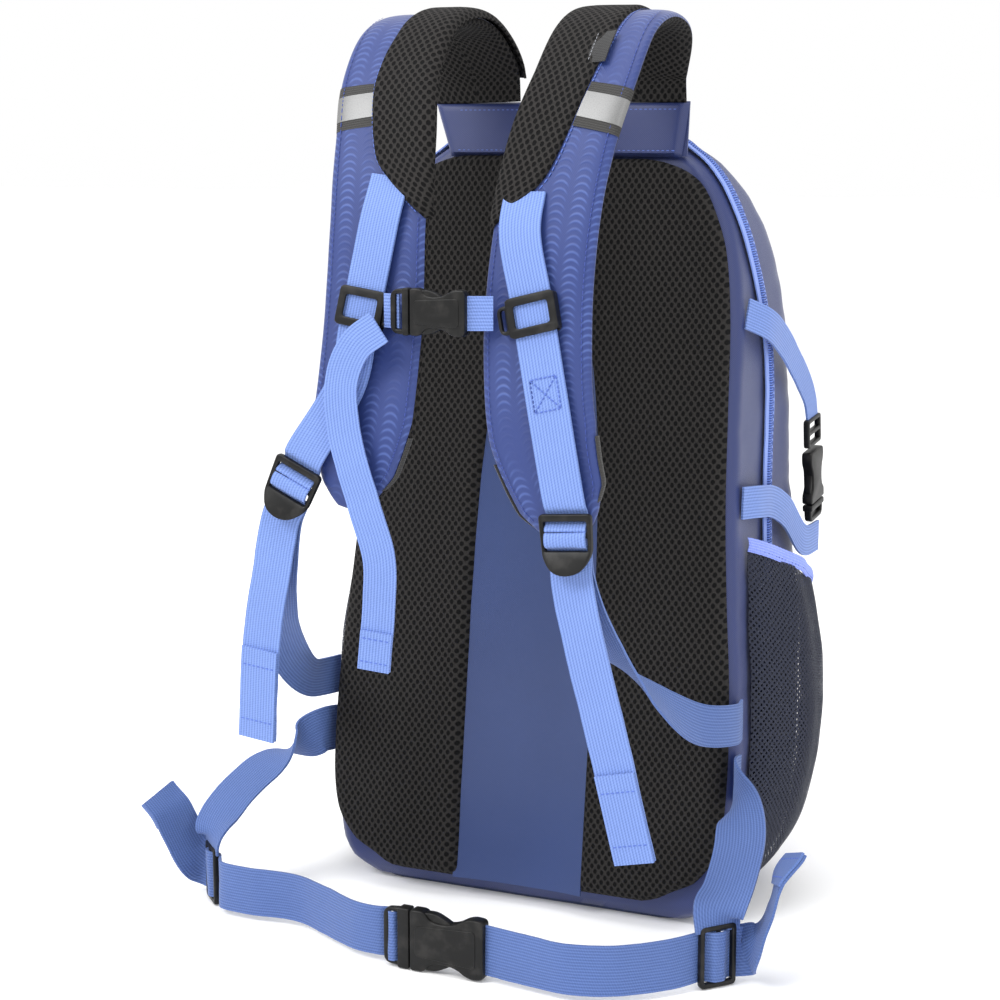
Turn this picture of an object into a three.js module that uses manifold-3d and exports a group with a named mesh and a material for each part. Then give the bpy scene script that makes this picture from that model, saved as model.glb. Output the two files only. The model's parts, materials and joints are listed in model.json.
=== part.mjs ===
// Day pack with a padded mesh back, two shoulder straps, a sternum strap and a
// webbing hip belt. Millimetres, +Z up. The harness side faces -Y, the wearer's
// left shoulder is at +X. The origin is the middle of the flat base, on the floor.
import * as THREE from 'three';
import { mergeVertices } from 'three/addons/utils/BufferGeometryUtils.js';
import Module from 'manifold-3d';

const wasm = await Module();
wasm.setup();

// ---- Driving sizes --------------------------------------------------------

const GAP = 0.35;              // between pieces that touch
const CLOTH = 1.6;             // one layer of pocket cloth
const WALL = 3;                // lined and padded wall of the bag

const BASE_DEPTH = 165;        // back to front at the base
const BASE_HALF_WIDTH = 110;   // flat part of the base
const BASE_SHEET = 2.6;        // stiff sheet under the bag
const LEAN = 0.125;            // the back leans this much per unit of height
const BAG_TOP = 480;           // top of the closed bag
const BAG_HALF_WIDTH = 140;    // widest half width, near the base

const ZIP_SETBACK = 60;        // zip line in front of the back on the sides
const ZIP_TOP_SETBACK = 18;    // and at the top
const ZIP_CURVE_START = 320;   // height at which the zip line starts to curve back
const LID_HEIGHT = 205;        // lower edge of the opening front
const TAPE = 9;                // width of one zip tape
const TAPE_THICK = 1;

const PAD_THICK = 9;           // mesh padding on the back
const PAD_TOP = 470;
const CHANNEL_HALF = 43;       // half width of the smooth channel in the padding
const CHANNEL_TOP = 405;
const CHANNEL_THICK = 7;
const YOKE_HALF = 86;
const YOKE_BOTTOM = 472;
const YOKE_TOP = 503;
const YOKE_THICK = 5;

const STRAP_THICK = 9;         // foam in the shoulder straps
const STRAP_WEB = 25;          // webbing on the shoulder straps
const STERNUM_WEB = 20;
const BELT_WEB = 30;
const SIDE_WEB = 20;           // compression straps
const WEB_THICK = 1.5;
const WEB_LIFT = 3.4;          // webbing above the foam, room for the sternum slider

const POCKET_BULGE = 27;
const POCKET_LOW = 18;
const POCKET_BACK_TOP = 232;   // height of the pocket mouth at the back seam
const POCKET_FRONT_TOP = 190;
const ELASTIC = 8;             // height of the elastic binding

const FRONT_POCKET_HALF = 88;
const FRONT_POCKET_LOW = 226;
const FRONT_POCKET_TOP = 352;
const FRONT_POCKET_BULGE = 20;

// ---- Colours --------------------------------------------------------------

const paint = (color, roughness = 0.8, metalness = 0) =>
  new THREE.MeshStandardMaterial({ color, roughness, metalness });

const TWILL = paint('#4a66ae', 0.7);
const SIDE_CLOTH = paint('#4f5f9a', 0.6);
const NAVY = paint('#33436f', 0.8);
const AIR_MESH = paint('#1c1b1d', 0.95);
const WEBBING = paint('#6d8de0', 0.75);
const ELASTIC_CLOTH = paint('#7f87e3', 0.7);
const ZIP_CLOTH = paint('#8ca5ea', 0.7);
const ACETAL = paint('#2f2f31', 0.45);
const REFLECTIVE = paint('#c4c5c4', 0.35, 0.2);
const ZINC = paint('#3a3a3c', 0.35, 0.8);
const LINING = paint('#2b3350', 0.9);

// ---- Helpers --------------------------------------------------------------

const V = (x, y, z) => new THREE.Vector3(x, y, z);
const X = V(1, 0, 0);
const Z = V(0, 0, 1);
const { lerp, smoothstep } = THREE.MathUtils;
const root = new THREE.Group();
root.name = 'daypack';

const add = (name, geometry, material, parent = root) => {
  const mesh = new THREE.Mesh(geometry, material);
  mesh.name = name;
  parent.add(mesh);
  return mesh;
};

// A closed body from rings of points, with a fan cap at each end.
const rings = (list) => {
  const n = list[0].length;
  const position = list.flat().flatMap((p) => [p.x, p.y, p.z]);
  const index = [];
  for (let r = 0; r < list.length - 1; r += 1) {
    for (let i = 0; i < n; i += 1) {
      const a = r * n + i;
      const b = r * n + (i + 1) % n;
      index.push(a, b, b + n, a, b + n, a + n);
    }
  }
  const cap = (ring, start, flip) => {
    const centre = ring.reduce((sum, p) => sum.add(p), V(0, 0, 0)).divideScalar(n);
    const c = position.length / 3;
    position.push(centre.x, centre.y, centre.z);
    for (let i = 0; i < n; i += 1) {
      const a = start + i;
      const b = start + (i + 1) % n;
      index.push(...(flip ? [c, b, a] : [c, a, b]));
    }
  };
  cap(list[0], 0, true);
  cap(list.at(-1), (list.length - 1) * n, false);
  const geometry = new THREE.BufferGeometry();
  geometry.setAttribute('position', new THREE.Float32BufferAttribute(position, 3));
  geometry.setIndex(index);
  return faceOut(geometry);
};

// Turns a closed geometry inside out if its volume is negative.
const faceOut = (geometry) => {
  const p = geometry.attributes.position;
  const index = geometry.index.array;
  const at = (i) => V(p.getX(i), p.getY(i), p.getZ(i));
  let volume = 0;
  for (let i = 0; i < index.length; i += 3) {
    volume += at(index[i]).dot(at(index[i + 1]).cross(at(index[i + 2])));
  }
  if (volume < 0) {
    for (let i = 0; i < index.length; i += 3) {
      [index[i + 1], index[i + 2]] = [index[i + 2], index[i + 1]];
    }
  }
  return geometry;
};

const solid = (geometry) => {
  const bare = new THREE.BufferGeometry();
  bare.setAttribute('position', geometry.attributes.position.clone());
  if (geometry.index) bare.setIndex(geometry.index.clone());
  const merged = mergeVertices(bare, 1e-4);
  const mesh = new wasm.Mesh({
    numProp: 3,
    vertProperties: new Float32Array(merged.attributes.position.array),
    triVerts: new Uint32Array(merged.index.array),
  });
  return new wasm.Manifold(mesh);
};

const geometryOf = (manifold) => {
  const mesh = manifold.getMesh();
  const geometry = new THREE.BufferGeometry();
  geometry.setAttribute('position', new THREE.BufferAttribute(mesh.vertProperties, 3));
  geometry.setIndex(new THREE.BufferAttribute(mesh.triVerts, 1));
  return geometry;
};

const box = (dx, dy, dz, x = 0, y = 0, z = 0) =>
  new THREE.BoxGeometry(dx, dy, dz).translate(x, y, z);

const curve = (points) => new THREE.CatmullRomCurve3(points, false, 'centripetal');

// A band along a path. across(t) is its width direction, half(t) its half
// width and thick(t) its thickness; soft bands get rounded edges.
const band = (path, { steps, across, half, thick, round = false }) => {
  const list = [];
  for (let i = 0; i <= steps; i += 1) {
    const t = i / steps;
    const c = path.getPoint(t);
    const tangent = path.getTangent(t);
    const w = across(t).clone();
    w.addScaledVector(tangent, -w.dot(tangent)).normalize();
    const n = tangent.clone().cross(w).normalize();
    const h = half(t);
    const d = thick(t) / 2;
    const section = round
      ? [[-h, 0], [-h + d * 0.5, d * 0.8], [-h + d * 1.6, d], [h - d * 1.6, d],
        [h - d * 0.5, d * 0.8], [h, 0], [h - d * 0.5, -d * 0.8], [h - d * 1.6, -d],
        [-h + d * 1.6, -d], [-h + d * 0.5, -d * 0.8]]
      : [[-h, -d], [h, -d], [h, d], [-h, d]];
    list.push(section.map(([a, b]) => c.clone().addScaledVector(w, a).addScaledVector(n, b)));
  }
  return rings(list);
};

const webbing = (points, width, across, steps = 24) => band(curve(points), {
  steps,
  across: typeof across === 'function' ? across : () => across,
  half: () => width / 2,
  thick: () => WEB_THICK,
});

// A thin closed sheet through a grid of points, thickened to one side.
const sheet = (nu, nv, at, outward, thick) => {
  const front = [];
  const back = [];
  for (let i = 0; i <= nu; i += 1) {
    const rowFront = [];
    const rowBack = [];
    for (let j = 0; j <= nv; j += 1) {
      const p = at(i / nu, j / nv);
      rowBack.push(p);
      rowFront.push(p.clone().addScaledVector(outward(i / nu, j / nv), thick));
    }
    front.push(rowFront);
    back.push(rowBack.reverse());
  }
  return rings(front.map((row, i) => [...row, ...back[i]]));
};

// ---- Shape of the bag -----------------------------------------------------

const BACK_FOOT = -BASE_DEPTH / 2;
const backAt = (z) => BACK_FOOT + LEAN * z;
const LEAN_ANGLE = Math.atan(LEAN);

// Widths across the bag are drawn for a half width of 140 and spread with it.
const DRAWN_HALF_WIDTH = 140;
const spread = (x) => (x * BAG_HALF_WIDTH) / DRAWN_HALF_WIDTH;
const SPREAD = BAG_HALF_WIDTH - DRAWN_HALF_WIDTH;

// Height, half width, inset of the back, depth, radius of the front corners.
const LEVELS = [
  [BASE_SHEET + GAP, spread(113), 10, 140, 26],
  [14, spread(126), 2, 154, 36],
  [40, spread(136), 0, 163, 46],
  [90, BAG_HALF_WIDTH, 0, 168, 52],
  [150, spread(138), 0, 170, 55],
  [LID_HEIGHT, spread(133), 0, 168, 55],
  [260, spread(129), 0, 161, 54],
  [320, spread(127), 0, 148, 52],
  [375, spread(125), 0, 128, 48],
  [415, spread(120), 0, 106, 42],
  [445, spread(110), 0, 82, 34],
  [466, spread(95), 1, 62, 24],
  [BAG_TOP, spread(76), 4, 44, 14],
];

// Moves points out to the side, the last of them as far as the bag has been widened.
const outward = (points, side) =>
  points.map((p, i) => p.add(V(side * SPREAD * ((i + 1) / points.length) ** 2, 0, 0)));

const level = (z) => {
  const k = LEVELS.findIndex((row) => row[0] >= z);
  const i = Math.max(1, k < 0 ? LEVELS.length - 1 : k);
  const [a, b] = [LEVELS[i - 1], LEVELS[i]];
  const f = THREE.MathUtils.clamp((z - a[0]) / (b[0] - a[0]), 0, 1);
  const [, half, inset, depth, radius] = a.map((value, n) => lerp(value, b[n], f));
  return { half, back: backAt(z) + inset, front: backAt(z) + depth, radius };
};

const BACK_RADIUS = 10;
const section = (z, inset) => {
  const { half, back, front, radius } = level(z);
  const points = [];
  const corner = (sx, y, r, from, steps) => {
    const cx = sx * (half - r);
    const cy = y === back ? y + r : y - r;
    for (let i = 0; i <= steps; i += 1) {
      const angle = (from + (90 * i) / steps) * THREE.MathUtils.DEG2RAD;
      points.push(V(cx + (r - inset) * Math.cos(angle), cy + (r - inset) * Math.sin(angle), z));
    }
  };
  corner(1, back, Math.min(BACK_RADIUS, radius), -90, 3);
  corner(1, front, radius, 0, 7);
  corner(-1, front, radius, 90, 7);
  corner(-1, back, Math.min(BACK_RADIUS, radius), 180, 3);
  return points;
};

const loft = (inset) => {
  const low = LEVELS[0][0] + inset;
  const high = BAG_TOP - inset;
  const heights = LEVELS.map(([z]) => THREE.MathUtils.clamp(z, low, high));
  return rings(heights.map((z) => section(z, inset)));
};

// Distance of the zip line in front of the back, by height.
const zipAt = (z) => backAt(z)
  + lerp(ZIP_SETBACK, ZIP_TOP_SETBACK, smoothstep(z, ZIP_CURVE_START, BAG_TOP - 25));

// Everything in front of the zip line and above the lid's lower edge.
const lidCutter = (gap) => {
  const far = 2 * BASE_DEPTH;
  const outline = new THREE.Shape();
  outline.moveTo(far, LID_HEIGHT + gap);
  const steps = 16;
  for (let i = 0; i <= steps; i += 1) {
    const z = lerp(LID_HEIGHT, BAG_TOP + 20, i / steps);
    outline.lineTo(zipAt(z) + gap, z + gap);
  }
  outline.lineTo(far, BAG_TOP + 20 + gap);
  outline.closePath();
  const depth = 4 * BAG_HALF_WIDTH;
  const geometry = new THREE.ExtrudeGeometry(outline, { depth, bevelEnabled: false });
  // shape (x, y) becomes (y, z), extruded along x
  const turn = new THREE.Matrix4().makeBasis(V(0, 1, 0), V(0, 0, 1), V(1, 0, 0));
  return geometry.applyMatrix4(turn).translate(-depth / 2, 0, 0);
};

const shell = solid(loft(0)).subtract(solid(loft(WALL)));
add('rear_shell', geometryOf(shell.subtract(solid(lidCutter(0)))), SIDE_CLOTH);
add('front_shell', geometryOf(shell.intersect(solid(lidCutter(GAP)))), SIDE_CLOTH);

// Base sheet: a rounded rectangle on the floor.
{
  const half = BASE_HALF_WIDTH - 2;
  const low = BACK_FOOT + 14;
  const high = -low - 12;
  const r = 22;
  const outline = new THREE.Shape();
  outline.moveTo(-half + r, low);
  outline.absarc(half - r, low + r, r, -Math.PI / 2, 0);
  outline.absarc(half - r, high - r, r, 0, Math.PI / 2);
  outline.absarc(-half + r, high - r, r, Math.PI / 2, Math.PI);
  outline.absarc(-half + r, low + r, r, Math.PI, 1.5 * Math.PI);
  const settings = { depth: BASE_SHEET, bevelEnabled: false, curveSegments: 6 };
  add('base_sheet', new THREE.ExtrudeGeometry(outline, settings), NAVY);
}

// ---- Back panel -----------------------------------------------------------

// The back plane: x across, s up the slope. Pieces are drawn flat and tipped.
const onBack = (geometry, lift) => {
  const turn = new THREE.Matrix4().makeBasis(X, V(0, Math.sin(LEAN_ANGLE), Math.cos(LEAN_ANGLE)),
    V(0, -Math.cos(LEAN_ANGLE), Math.sin(LEAN_ANGLE)));
  geometry.translate(0, 0, lift);
  geometry.applyMatrix4(turn);
  return geometry.translate(0, BACK_FOOT, 0);
};
const slope = (z) => z / Math.cos(LEAN_ANGLE);

const channelHalf = (z) => CHANNEL_HALF * Math.sqrt(Math.max(0, 1 - (z / CHANNEL_TOP) ** 5));
const CHANNEL_LEVELS = [0, 90, 180, 240, 290, 330, 360, 382, 397];

const padOutline = () => {
  const side = [22, 30, 50, 90, 150, LID_HEIGHT, 260, 320, 375, 415, 440, 455]
    .map((z) => [level(z).half - 5, slope(z)]);
  side[0][0] -= 22;
  side[1][0] -= 8;
  const outline = new THREE.Shape();
  const foot = slope(14);
  outline.moveTo(CHANNEL_HALF, foot);
  outline.lineTo(side[0][0] - 20, foot);
  outline.splineThru(side.map(([x, s]) => new THREE.Vector2(x, s)));
  outline.splineThru([
    new THREE.Vector2(spread(78), slope(PAD_TOP - 3)),
    new THREE.Vector2(spread(40), slope(PAD_TOP)),
    new THREE.Vector2(-spread(40), slope(PAD_TOP)),
    new THREE.Vector2(-spread(78), slope(PAD_TOP - 3)),
    new THREE.Vector2(-side.at(-1)[0], side.at(-1)[1]),
  ]);
  outline.splineThru(side.slice(0, -1).reverse().map(([x, s]) => new THREE.Vector2(-x, s)));
  outline.lineTo(-side[0][0] + 20, foot);
  outline.lineTo(-CHANNEL_HALF, foot);
  CHANNEL_LEVELS.slice(1).forEach((z) => outline.lineTo(-channelHalf(z), slope(z)));
  outline.lineTo(0, slope(CHANNEL_TOP));
  CHANNEL_LEVELS.slice(1).reverse().forEach((z) => outline.lineTo(channelHalf(z), slope(z)));
  outline.closePath();
  return outline;
};
add('back_padding', onBack(new THREE.ExtrudeGeometry(padOutline(), {
  depth: PAD_THICK, bevelEnabled: false, curveSegments: 3,
}), GAP), AIR_MESH);

{
  const inset = 0.6;
  const outline = new THREE.Shape();
  outline.moveTo(-CHANNEL_HALF + inset, slope(14));
  outline.lineTo(CHANNEL_HALF - inset, slope(14));
  CHANNEL_LEVELS.slice(1).forEach((z) => outline.lineTo(channelHalf(z) - inset, slope(z - 2)));
  outline.lineTo(0, slope(CHANNEL_TOP - 6));
  CHANNEL_LEVELS.slice(1).reverse()
    .forEach((z) => outline.lineTo(-channelHalf(z) + inset, slope(z - 2)));
  outline.closePath();
  add('back_channel', onBack(new THREE.ExtrudeGeometry(outline, {
    depth: CHANNEL_THICK, bevelEnabled: false,
  }), GAP), TWILL);
}

{
  const outline = new THREE.Shape();
  outline.moveTo(-YOKE_HALF + 4, slope(YOKE_BOTTOM));
  outline.lineTo(YOKE_HALF - 4, slope(YOKE_BOTTOM));
  outline.lineTo(YOKE_HALF, slope(YOKE_TOP));
  outline.lineTo(-YOKE_HALF, slope(YOKE_TOP));
  outline.closePath();
  add('yoke', onBack(new THREE.ExtrudeGeometry(outline, {
    depth: YOKE_THICK, bevelEnabled: false,
  }), GAP), SIDE_CLOTH);
}

// ---- Hardware shapes ------------------------------------------------------

// Puts a piece drawn at the origin in place: its own x and z point along given
// directions, with z squared up to x.
const place = (geometry, origin, xAxis, zHint) => {
  const x = xAxis.clone().normalize();
  const z = zHint.clone().addScaledVector(x, -zHint.dot(x)).normalize();
  const y = z.clone().cross(x);
  return geometry.applyMatrix4(new THREE.Matrix4().makeBasis(x, y, z).setPosition(origin));
};

const roundedBlock = (x0, x1, width, thick, radius) => {
  const h = width / 2;
  const r = radius;
  const outline = new THREE.Shape();
  outline.moveTo(x0 + r, -h);
  outline.absarc(x1 - r, -h + r, r, -Math.PI / 2, 0);
  outline.absarc(x1 - r, h - r, r, 0, Math.PI / 2);
  outline.absarc(x0 + r, h - r, r, Math.PI / 2, Math.PI);
  outline.absarc(x0 + r, -h + r, r, Math.PI, 1.5 * Math.PI);
  return new THREE.ExtrudeGeometry(outline, { depth: thick, bevelEnabled: false, curveSegments: 3 })
    .translate(0, 0, -thick / 2);
};
const block = (x0, x1, y0, y1, z0, z1) =>
  box(x1 - x0, y1 - y0, z1 - z0, (x0 + x1) / 2, (y0 + y1) / 2, (z0 + z1) / 2);

// Side-release buckle for a webbing width. x runs along the strap with the
// plug below zero and the socket above, y across it, z through it.
const BUCKLE_EDGE = 3.5;
const buckleSizes = (web) => ({
  socket: 1.3 * web + 9,
  plug: 0.55 * web + 1.5,
  width: web + 2 * BUCKLE_EDGE,
  thick: 0.2 * web + 4,
});
const PRONG_CLEARANCE = 0.6;
const SKIN = 2;                // plastic above and below the prongs
const SLOT = 4;                // webbing slots, along the strap
const SLOT_BAR = 3;            // bar outside a slot

const socketOf = (web) => {
  const { socket, width, thick } = buckleSizes(web);
  const room = thick / 2 - SKIN;
  return geometryOf(solid(roundedBlock(0, socket, width, thick, 4))
    .subtract(solid(block(-1, 0.6 * socket, -width / 2 + SKIN + 1, width / 2 - SKIN - 1, -room, room)))
    .subtract(solid(block(0.26 * socket, 0.52 * socket, -width, width, -room, room)))
    .subtract(solid(block(socket - SLOT - SLOT_BAR, socket - SLOT_BAR, -web / 2, web / 2, -thick, thick))));
};

const plugOf = (web) => {
  const { socket, plug, width, thick } = buckleSizes(web);
  const reach = 0.5 * socket;
  const room = thick / 2 - SKIN - PRONG_CLEARANCE;
  const side = width / 2 - SKIN - 1 - PRONG_CLEARANCE;
  const arm = 0.14 * web + 1;
  return geometryOf(solid(roundedBlock(-plug, -GAP, width, 0.85 * thick, 3))
    .subtract(solid(block(-plug + SLOT_BAR, -plug + SLOT_BAR + SLOT, -web / 2, web / 2, -thick, thick)))
    .add(solid(block(-GAP - 1, reach, side - arm, side, -room, room)))
    .add(solid(block(-GAP - 1, reach, -side, -side + arm, -room, room)))
    .add(solid(block(-GAP - 1, 0.7 * reach, -1.6, 1.6, -room, room))));
};

// Flat frame with a middle bar, drawn like a buckle: x along the strap.
const TRIGLIDE_THICK = 4;
const triGlideLength = (web) => 0.5 * web + 9;
const triGlideOf = (web) => {
  const width = web + 7;
  const length = triGlideLength(web);
  const slot = length / 2 - 4.2;
  return geometryOf(solid(roundedBlock(-length / 2, length / 2, width, TRIGLIDE_THICK, 2.5))
    .subtract(solid(block(1.4, 1.4 + slot, -web / 2 - 0.5, web / 2 + 0.5, -5, 5)))
    .subtract(solid(block(-1.4 - slot, -1.4, -web / 2 - 0.5, web / 2 + 0.5, -5, 5))));
};

// Ladder lock: x across the strap, z up, front face to -y, top bar at z = 0.
const LADDER_HEIGHT = 27;
const LADDER_THICK = 4;
const ladderLock = () => {
  const half = STRAP_WEB / 2 + 3.5;
  const inner = STRAP_WEB / 2 + 0.5;
  const t = LADDER_THICK / 2;
  const plate = solid(block(-half, half, -t, t, -LADDER_HEIGHT, 2))
    .subtract(solid(block(-inner, inner, -5, 5, -8, -2)))
    .subtract(solid(block(-inner, inner, -5, 5, -19, -12)));
  const outline = new THREE.Shape();
  outline.moveTo(-half + 1, 0);
  outline.lineTo(-half + 4, -8);
  outline.quadraticCurveTo(-half + 6, -11, -6, -11);
  outline.lineTo(6, -11);
  outline.quadraticCurveTo(half - 6, -11, half - 4, -8);
  outline.lineTo(half - 1, 0);
  outline.closePath();
  const tongue = new THREE.ExtrudeGeometry(outline, {
    depth: 3, bevelEnabled: false, curveSegments: 4,
  }).rotateX(Math.PI / 2 - 0.35).translate(0, -t + 1.2, -LADDER_HEIGHT + 4);
  return geometryOf(plate.add(solid(tongue)));
};

// Sternum slider: the strap webbing runs through it along z; the loop for the
// sternum strap is on the side that inward points to.
const SLIDER_HALF = 15;
const SLIDER_HEIGHT = 23;
const SLIDER_DEPTH = 6.4;
const SLIDER_LOOP = 6.5;
const sternumSlider = (inward) => {
  const h = SLIDER_HEIGHT / 2;
  const d = SLIDER_DEPTH / 2;
  const near = inward * (SLIDER_HALF - 1);
  const far = inward * (SLIDER_HALF + SLIDER_LOOP);
  const [low, high] = [Math.min(near, far), Math.max(near, far)];
  const hole = inward * (SLIDER_HALF + 1.8);
  const holeEnd = inward * (SLIDER_HALF + SLIDER_LOOP - 1.8);
  return geometryOf(solid(block(-SLIDER_HALF, SLIDER_HALF, -d, d, -h, h))
    .add(solid(block(low, high, -d + 1.4, d - 1.4, -h, h)))
    .subtract(solid(block(-STRAP_WEB / 2 - 0.7, STRAP_WEB / 2 + 0.7, -d + 1.5, d - 1.5, -20, 20)))
    .subtract(solid(block(-STRAP_WEB / 2 + 1.5, STRAP_WEB / 2 - 1.5, -9, 0, -h + 4, h - 4)))
    .subtract(solid(block(Math.min(hole, holeEnd), Math.max(hole, holeEnd), -9, 9, -h + 1.8, h - 1.8))));
};

// ---- Shoulder straps ------------------------------------------------------

const STRAP_FOOT_Y = backAt(YOKE_TOP) - YOKE_THICK / 2 - GAP;
const STRAP_FOOT = YOKE_TOP + 1.8;
const STERNUM_HEIGHT = 386;

// side is +1 on the wearer's left. Both straps rise from the yoke, arch over
// and hang in front of the back; they don't hang quite alike.
const STRAPS = [
  {
    tag: 'left',
    side: 1,
    pad: [[56, -27, 525], [67, -52, 547], [70, -87, 552], [71, -118, 542], [69, -142, 515],
      [62, -158, 480], [57, -171, 432], [56, -180, 376], [63, -189, 320], [76, -191, 284], [86, -191, 262]],
    sewn: [0.6, -14],
    webTop: [0.64, -12],
    webLow: [0.815, 10],
    ladder: [82, -200, 275],
    ladderDown: [0.08, 0, -1],
    tail: [[92, -201, 214], [108, -199, 150], [124, -195, 80]],
    lower: [[90, -190, 222], [100, -174, 194], [116, -146, 164], [131, -110, 140]],
  },
  {
    tag: 'right',
    side: -1,
    pad: [[-56, -27, 525], [-58, -52, 547], [-58, -87, 552], [-58, -118, 542], [-57, -142, 515],
      [-52, -158, 480], [-49, -171, 432], [-48, -180, 376], [-50, -189, 325], [-55, -191, 295], [-61, -191, 270]],
    sewn: [0.585, 9],
    webTop: [0.63, 5],
    webLow: [0.785, -9],
    ladder: [-88, -200, 292],
    ladderDown: [-0.42, 0, -0.9],
    tail: [[-107, -201, 230], [-115, -200, 190], [-122, -196, 124]],
    lower: [[-110, -188, 222], [-122, -166, 188], [-133, -134, 158], [-140, -100, 138]],
  },
];
const PAD_HALF = [29.5, 30, 30, 30, 30, 30.5, 31.5, 32, 33, 33, 27, 13];

const stops = (values) => (t) => {
  const s = Math.min(t * (values.length - 1), values.length - 1.000001);
  const i = Math.floor(s);
  return lerp(values[i], values[i + 1], s - i);
};

const LOWER_WEB_ANCHOR = 132;  // height where the lower webbing meets the side seam
const BELT_ANCHOR = 96;        // height where the belt meets it
const SIDE_LIFT = WEB_THICK / 2 + GAP;

STRAPS.forEach((strap) => {
  const { tag, side } = strap;
  const path = curve([V(side * 55.5, STRAP_FOOT_Y, STRAP_FOOT), ...strap.pad.map((p) => V(...p))]);
  const padThick = (t) => STRAP_THICK * Math.min(1, 0.25 + 9 * t) * (t > 0.97 ? 0.8 : 1);
  add(`strap_pad_${tag}`, band(path, {
    steps: 33, across: () => X, half: stops(PAD_HALF), thick: padThick, round: true,
  }), TWILL);

  // A point above the outer face of the strap.
  const onPad = (t, lateral, lift) => {
    const normal = path.getTangent(t).cross(X).normalize();
    return path.getPoint(t).addScaledVector(X, lateral)
      .addScaledVector(normal, STRAP_THICK / 2 + lift);
  };

  const reflectiveSpan = [0.475, 0.512];
  add(`reflective_band_${tag}`, band(curve([0, 0.5, 1].map((f) => onPad(
    lerp(...reflectiveSpan, f), side * 16.5, GAP + 0.4,
  ))), { steps: 4, across: () => X, half: () => 12, thick: () => 0.8 }), REFLECTIVE);

  const top = onPad(strap.webTop[0], strap.webTop[1], WEB_LIFT + WEB_THICK / 2);
  const low = onPad(strap.webLow[0], strap.webLow[1], WEB_LIFT + WEB_THICK / 2);
  const sewn = onPad(strap.sewn[0], strap.sewn[1], GAP + WEB_THICK / 2);
  const ladder = V(...strap.ladder);
  const down = V(...strap.ladderDown).normalize();
  const across = V(-down.z, 0, down.x);
  const straight = [0, 0.33, 0.67, 1].map((f) => top.clone().lerp(low, f));
  const end = ladder.clone().addScaledVector(down, -4.2);
  add(`strap_webbing_${tag}`, webbing([sewn, ...straight, end], STRAP_WEB,
    (t) => X.clone().lerp(across, smoothstep(t, 0.75, 0.97)), 30), WEBBING);

  add(`ladder_lock_${tag}`, place(ladderLock(), ladder, across, down.clone().negate()), ACETAL);
  const under = (depth, back) => ladder.clone().addScaledVector(down, depth).add(V(0, back, 0));
  add(`strap_tail_${tag}`, webbing([under(20, 3.2), under(34, 3.2), ...strap.tail.map((p) => V(...p))],
    STRAP_WEB, (t) => across.clone().lerp(X, 0.2 * t), 20), WEBBING);

  const anchor = V(side * (level(LOWER_WEB_ANCHOR).half + SIDE_LIFT), backAt(LOWER_WEB_ANCHOR) + 5,
    LOWER_WEB_ANCHOR);
  const wall = anchor.clone().add(V(side * 2, -16, 1));
  add(`lower_webbing_${tag}`, webbing([under(21, 5.4), under(34, 6.4),
    ...outward(strap.lower.map((p) => V(...p)), side), wall, anchor],
  STRAP_WEB, (t) => across.clone().lerp(Z.clone().multiplyScalar(-side), smoothstep(t, 0.1, 0.95)), 40),
  WEBBING);

  // Sternum slider on the straight stretch.
  const slider = top.clone().lerp(low, (STERNUM_HEIGHT - top.z) / (low.z - top.z));
  const up = top.clone().sub(low).normalize();
  const sliderAcross = X.clone().addScaledVector(up, -up.x);
  add(`sternum_slider_${tag}`, place(sternumSlider(-side), slider, sliderAcross, up), ACETAL);
});

// Blank sewn tag on the seam of the left strap.
{
  const strap = STRAPS[0];
  const path = curve([V(55.5, STRAP_FOOT_Y, STRAP_FOOT), ...strap.pad.map((p) => V(...p))]);
  const tagPoint = (t) => path.getPoint(t).addScaledVector(X, -1)
    .addScaledVector(path.getTangent(t).cross(X).normalize(), STRAP_THICK / 2 + GAP + 0.5);
  add('woven_tag', band(curve([0.385, 0.41, 0.435].map(tagPoint)), {
    steps: 4, across: () => X, half: () => 6, thick: () => 1,
  }), ACETAL);
}

// ---- Sternum strap --------------------------------------------------------

const STERNUM_Y = -196.5;
const STERNUM_JOIN = -15;      // where plug and socket meet
{
  const { socket, plug } = buckleSizes(STERNUM_WEB);
  const at = V(STERNUM_JOIN, STERNUM_Y, STERNUM_HEIGHT);
  add('sternum_socket', place(socketOf(STERNUM_WEB), at, X, V(0, -1, 0)), ACETAL);
  add('sternum_plug', place(plugOf(STERNUM_WEB), at, X, V(0, -1, 0)), ACETAL);
  const y = STERNUM_Y;
  const z = STERNUM_HEIGHT;
  const bandAt = (name, x0, y0, x1, y1) => add(name, webbing(
    [V(x0, y0, z), V((x0 + x1) / 2, (y0 + y1) / 2, z), V(x1, y1, z)], STERNUM_WEB, Z, 4,
  ), WEBBING);
  bandAt('sternum_webbing_left', STERNUM_JOIN + socket + 2 * GAP, y, 30.6, y + 7);
  bandAt('sternum_webbing_right', STERNUM_JOIN - plug - 2 * GAP, y, -31, y + 1.8);
  const fall = [[-33, -202.4, 377], [-48, -202.4, 366], [-57, -202.6, 347], [-56, -203.6, 318], [-50, -203.6, 295],
    [-43, -203, 272], [-34, -202.4, 242], [-35, -201.4, 214], [-39, -200.4, 176]];
  add('sternum_tail', webbing(fall.map((p) => V(...p)), STERNUM_WEB,
    (t) => V(0.6, 0, -0.8).lerp(V(1, 0.12, 0.05), smoothstep(t, 0, 0.3)), 30), WEBBING);
}

// ---- Hip belt -------------------------------------------------------------

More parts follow.
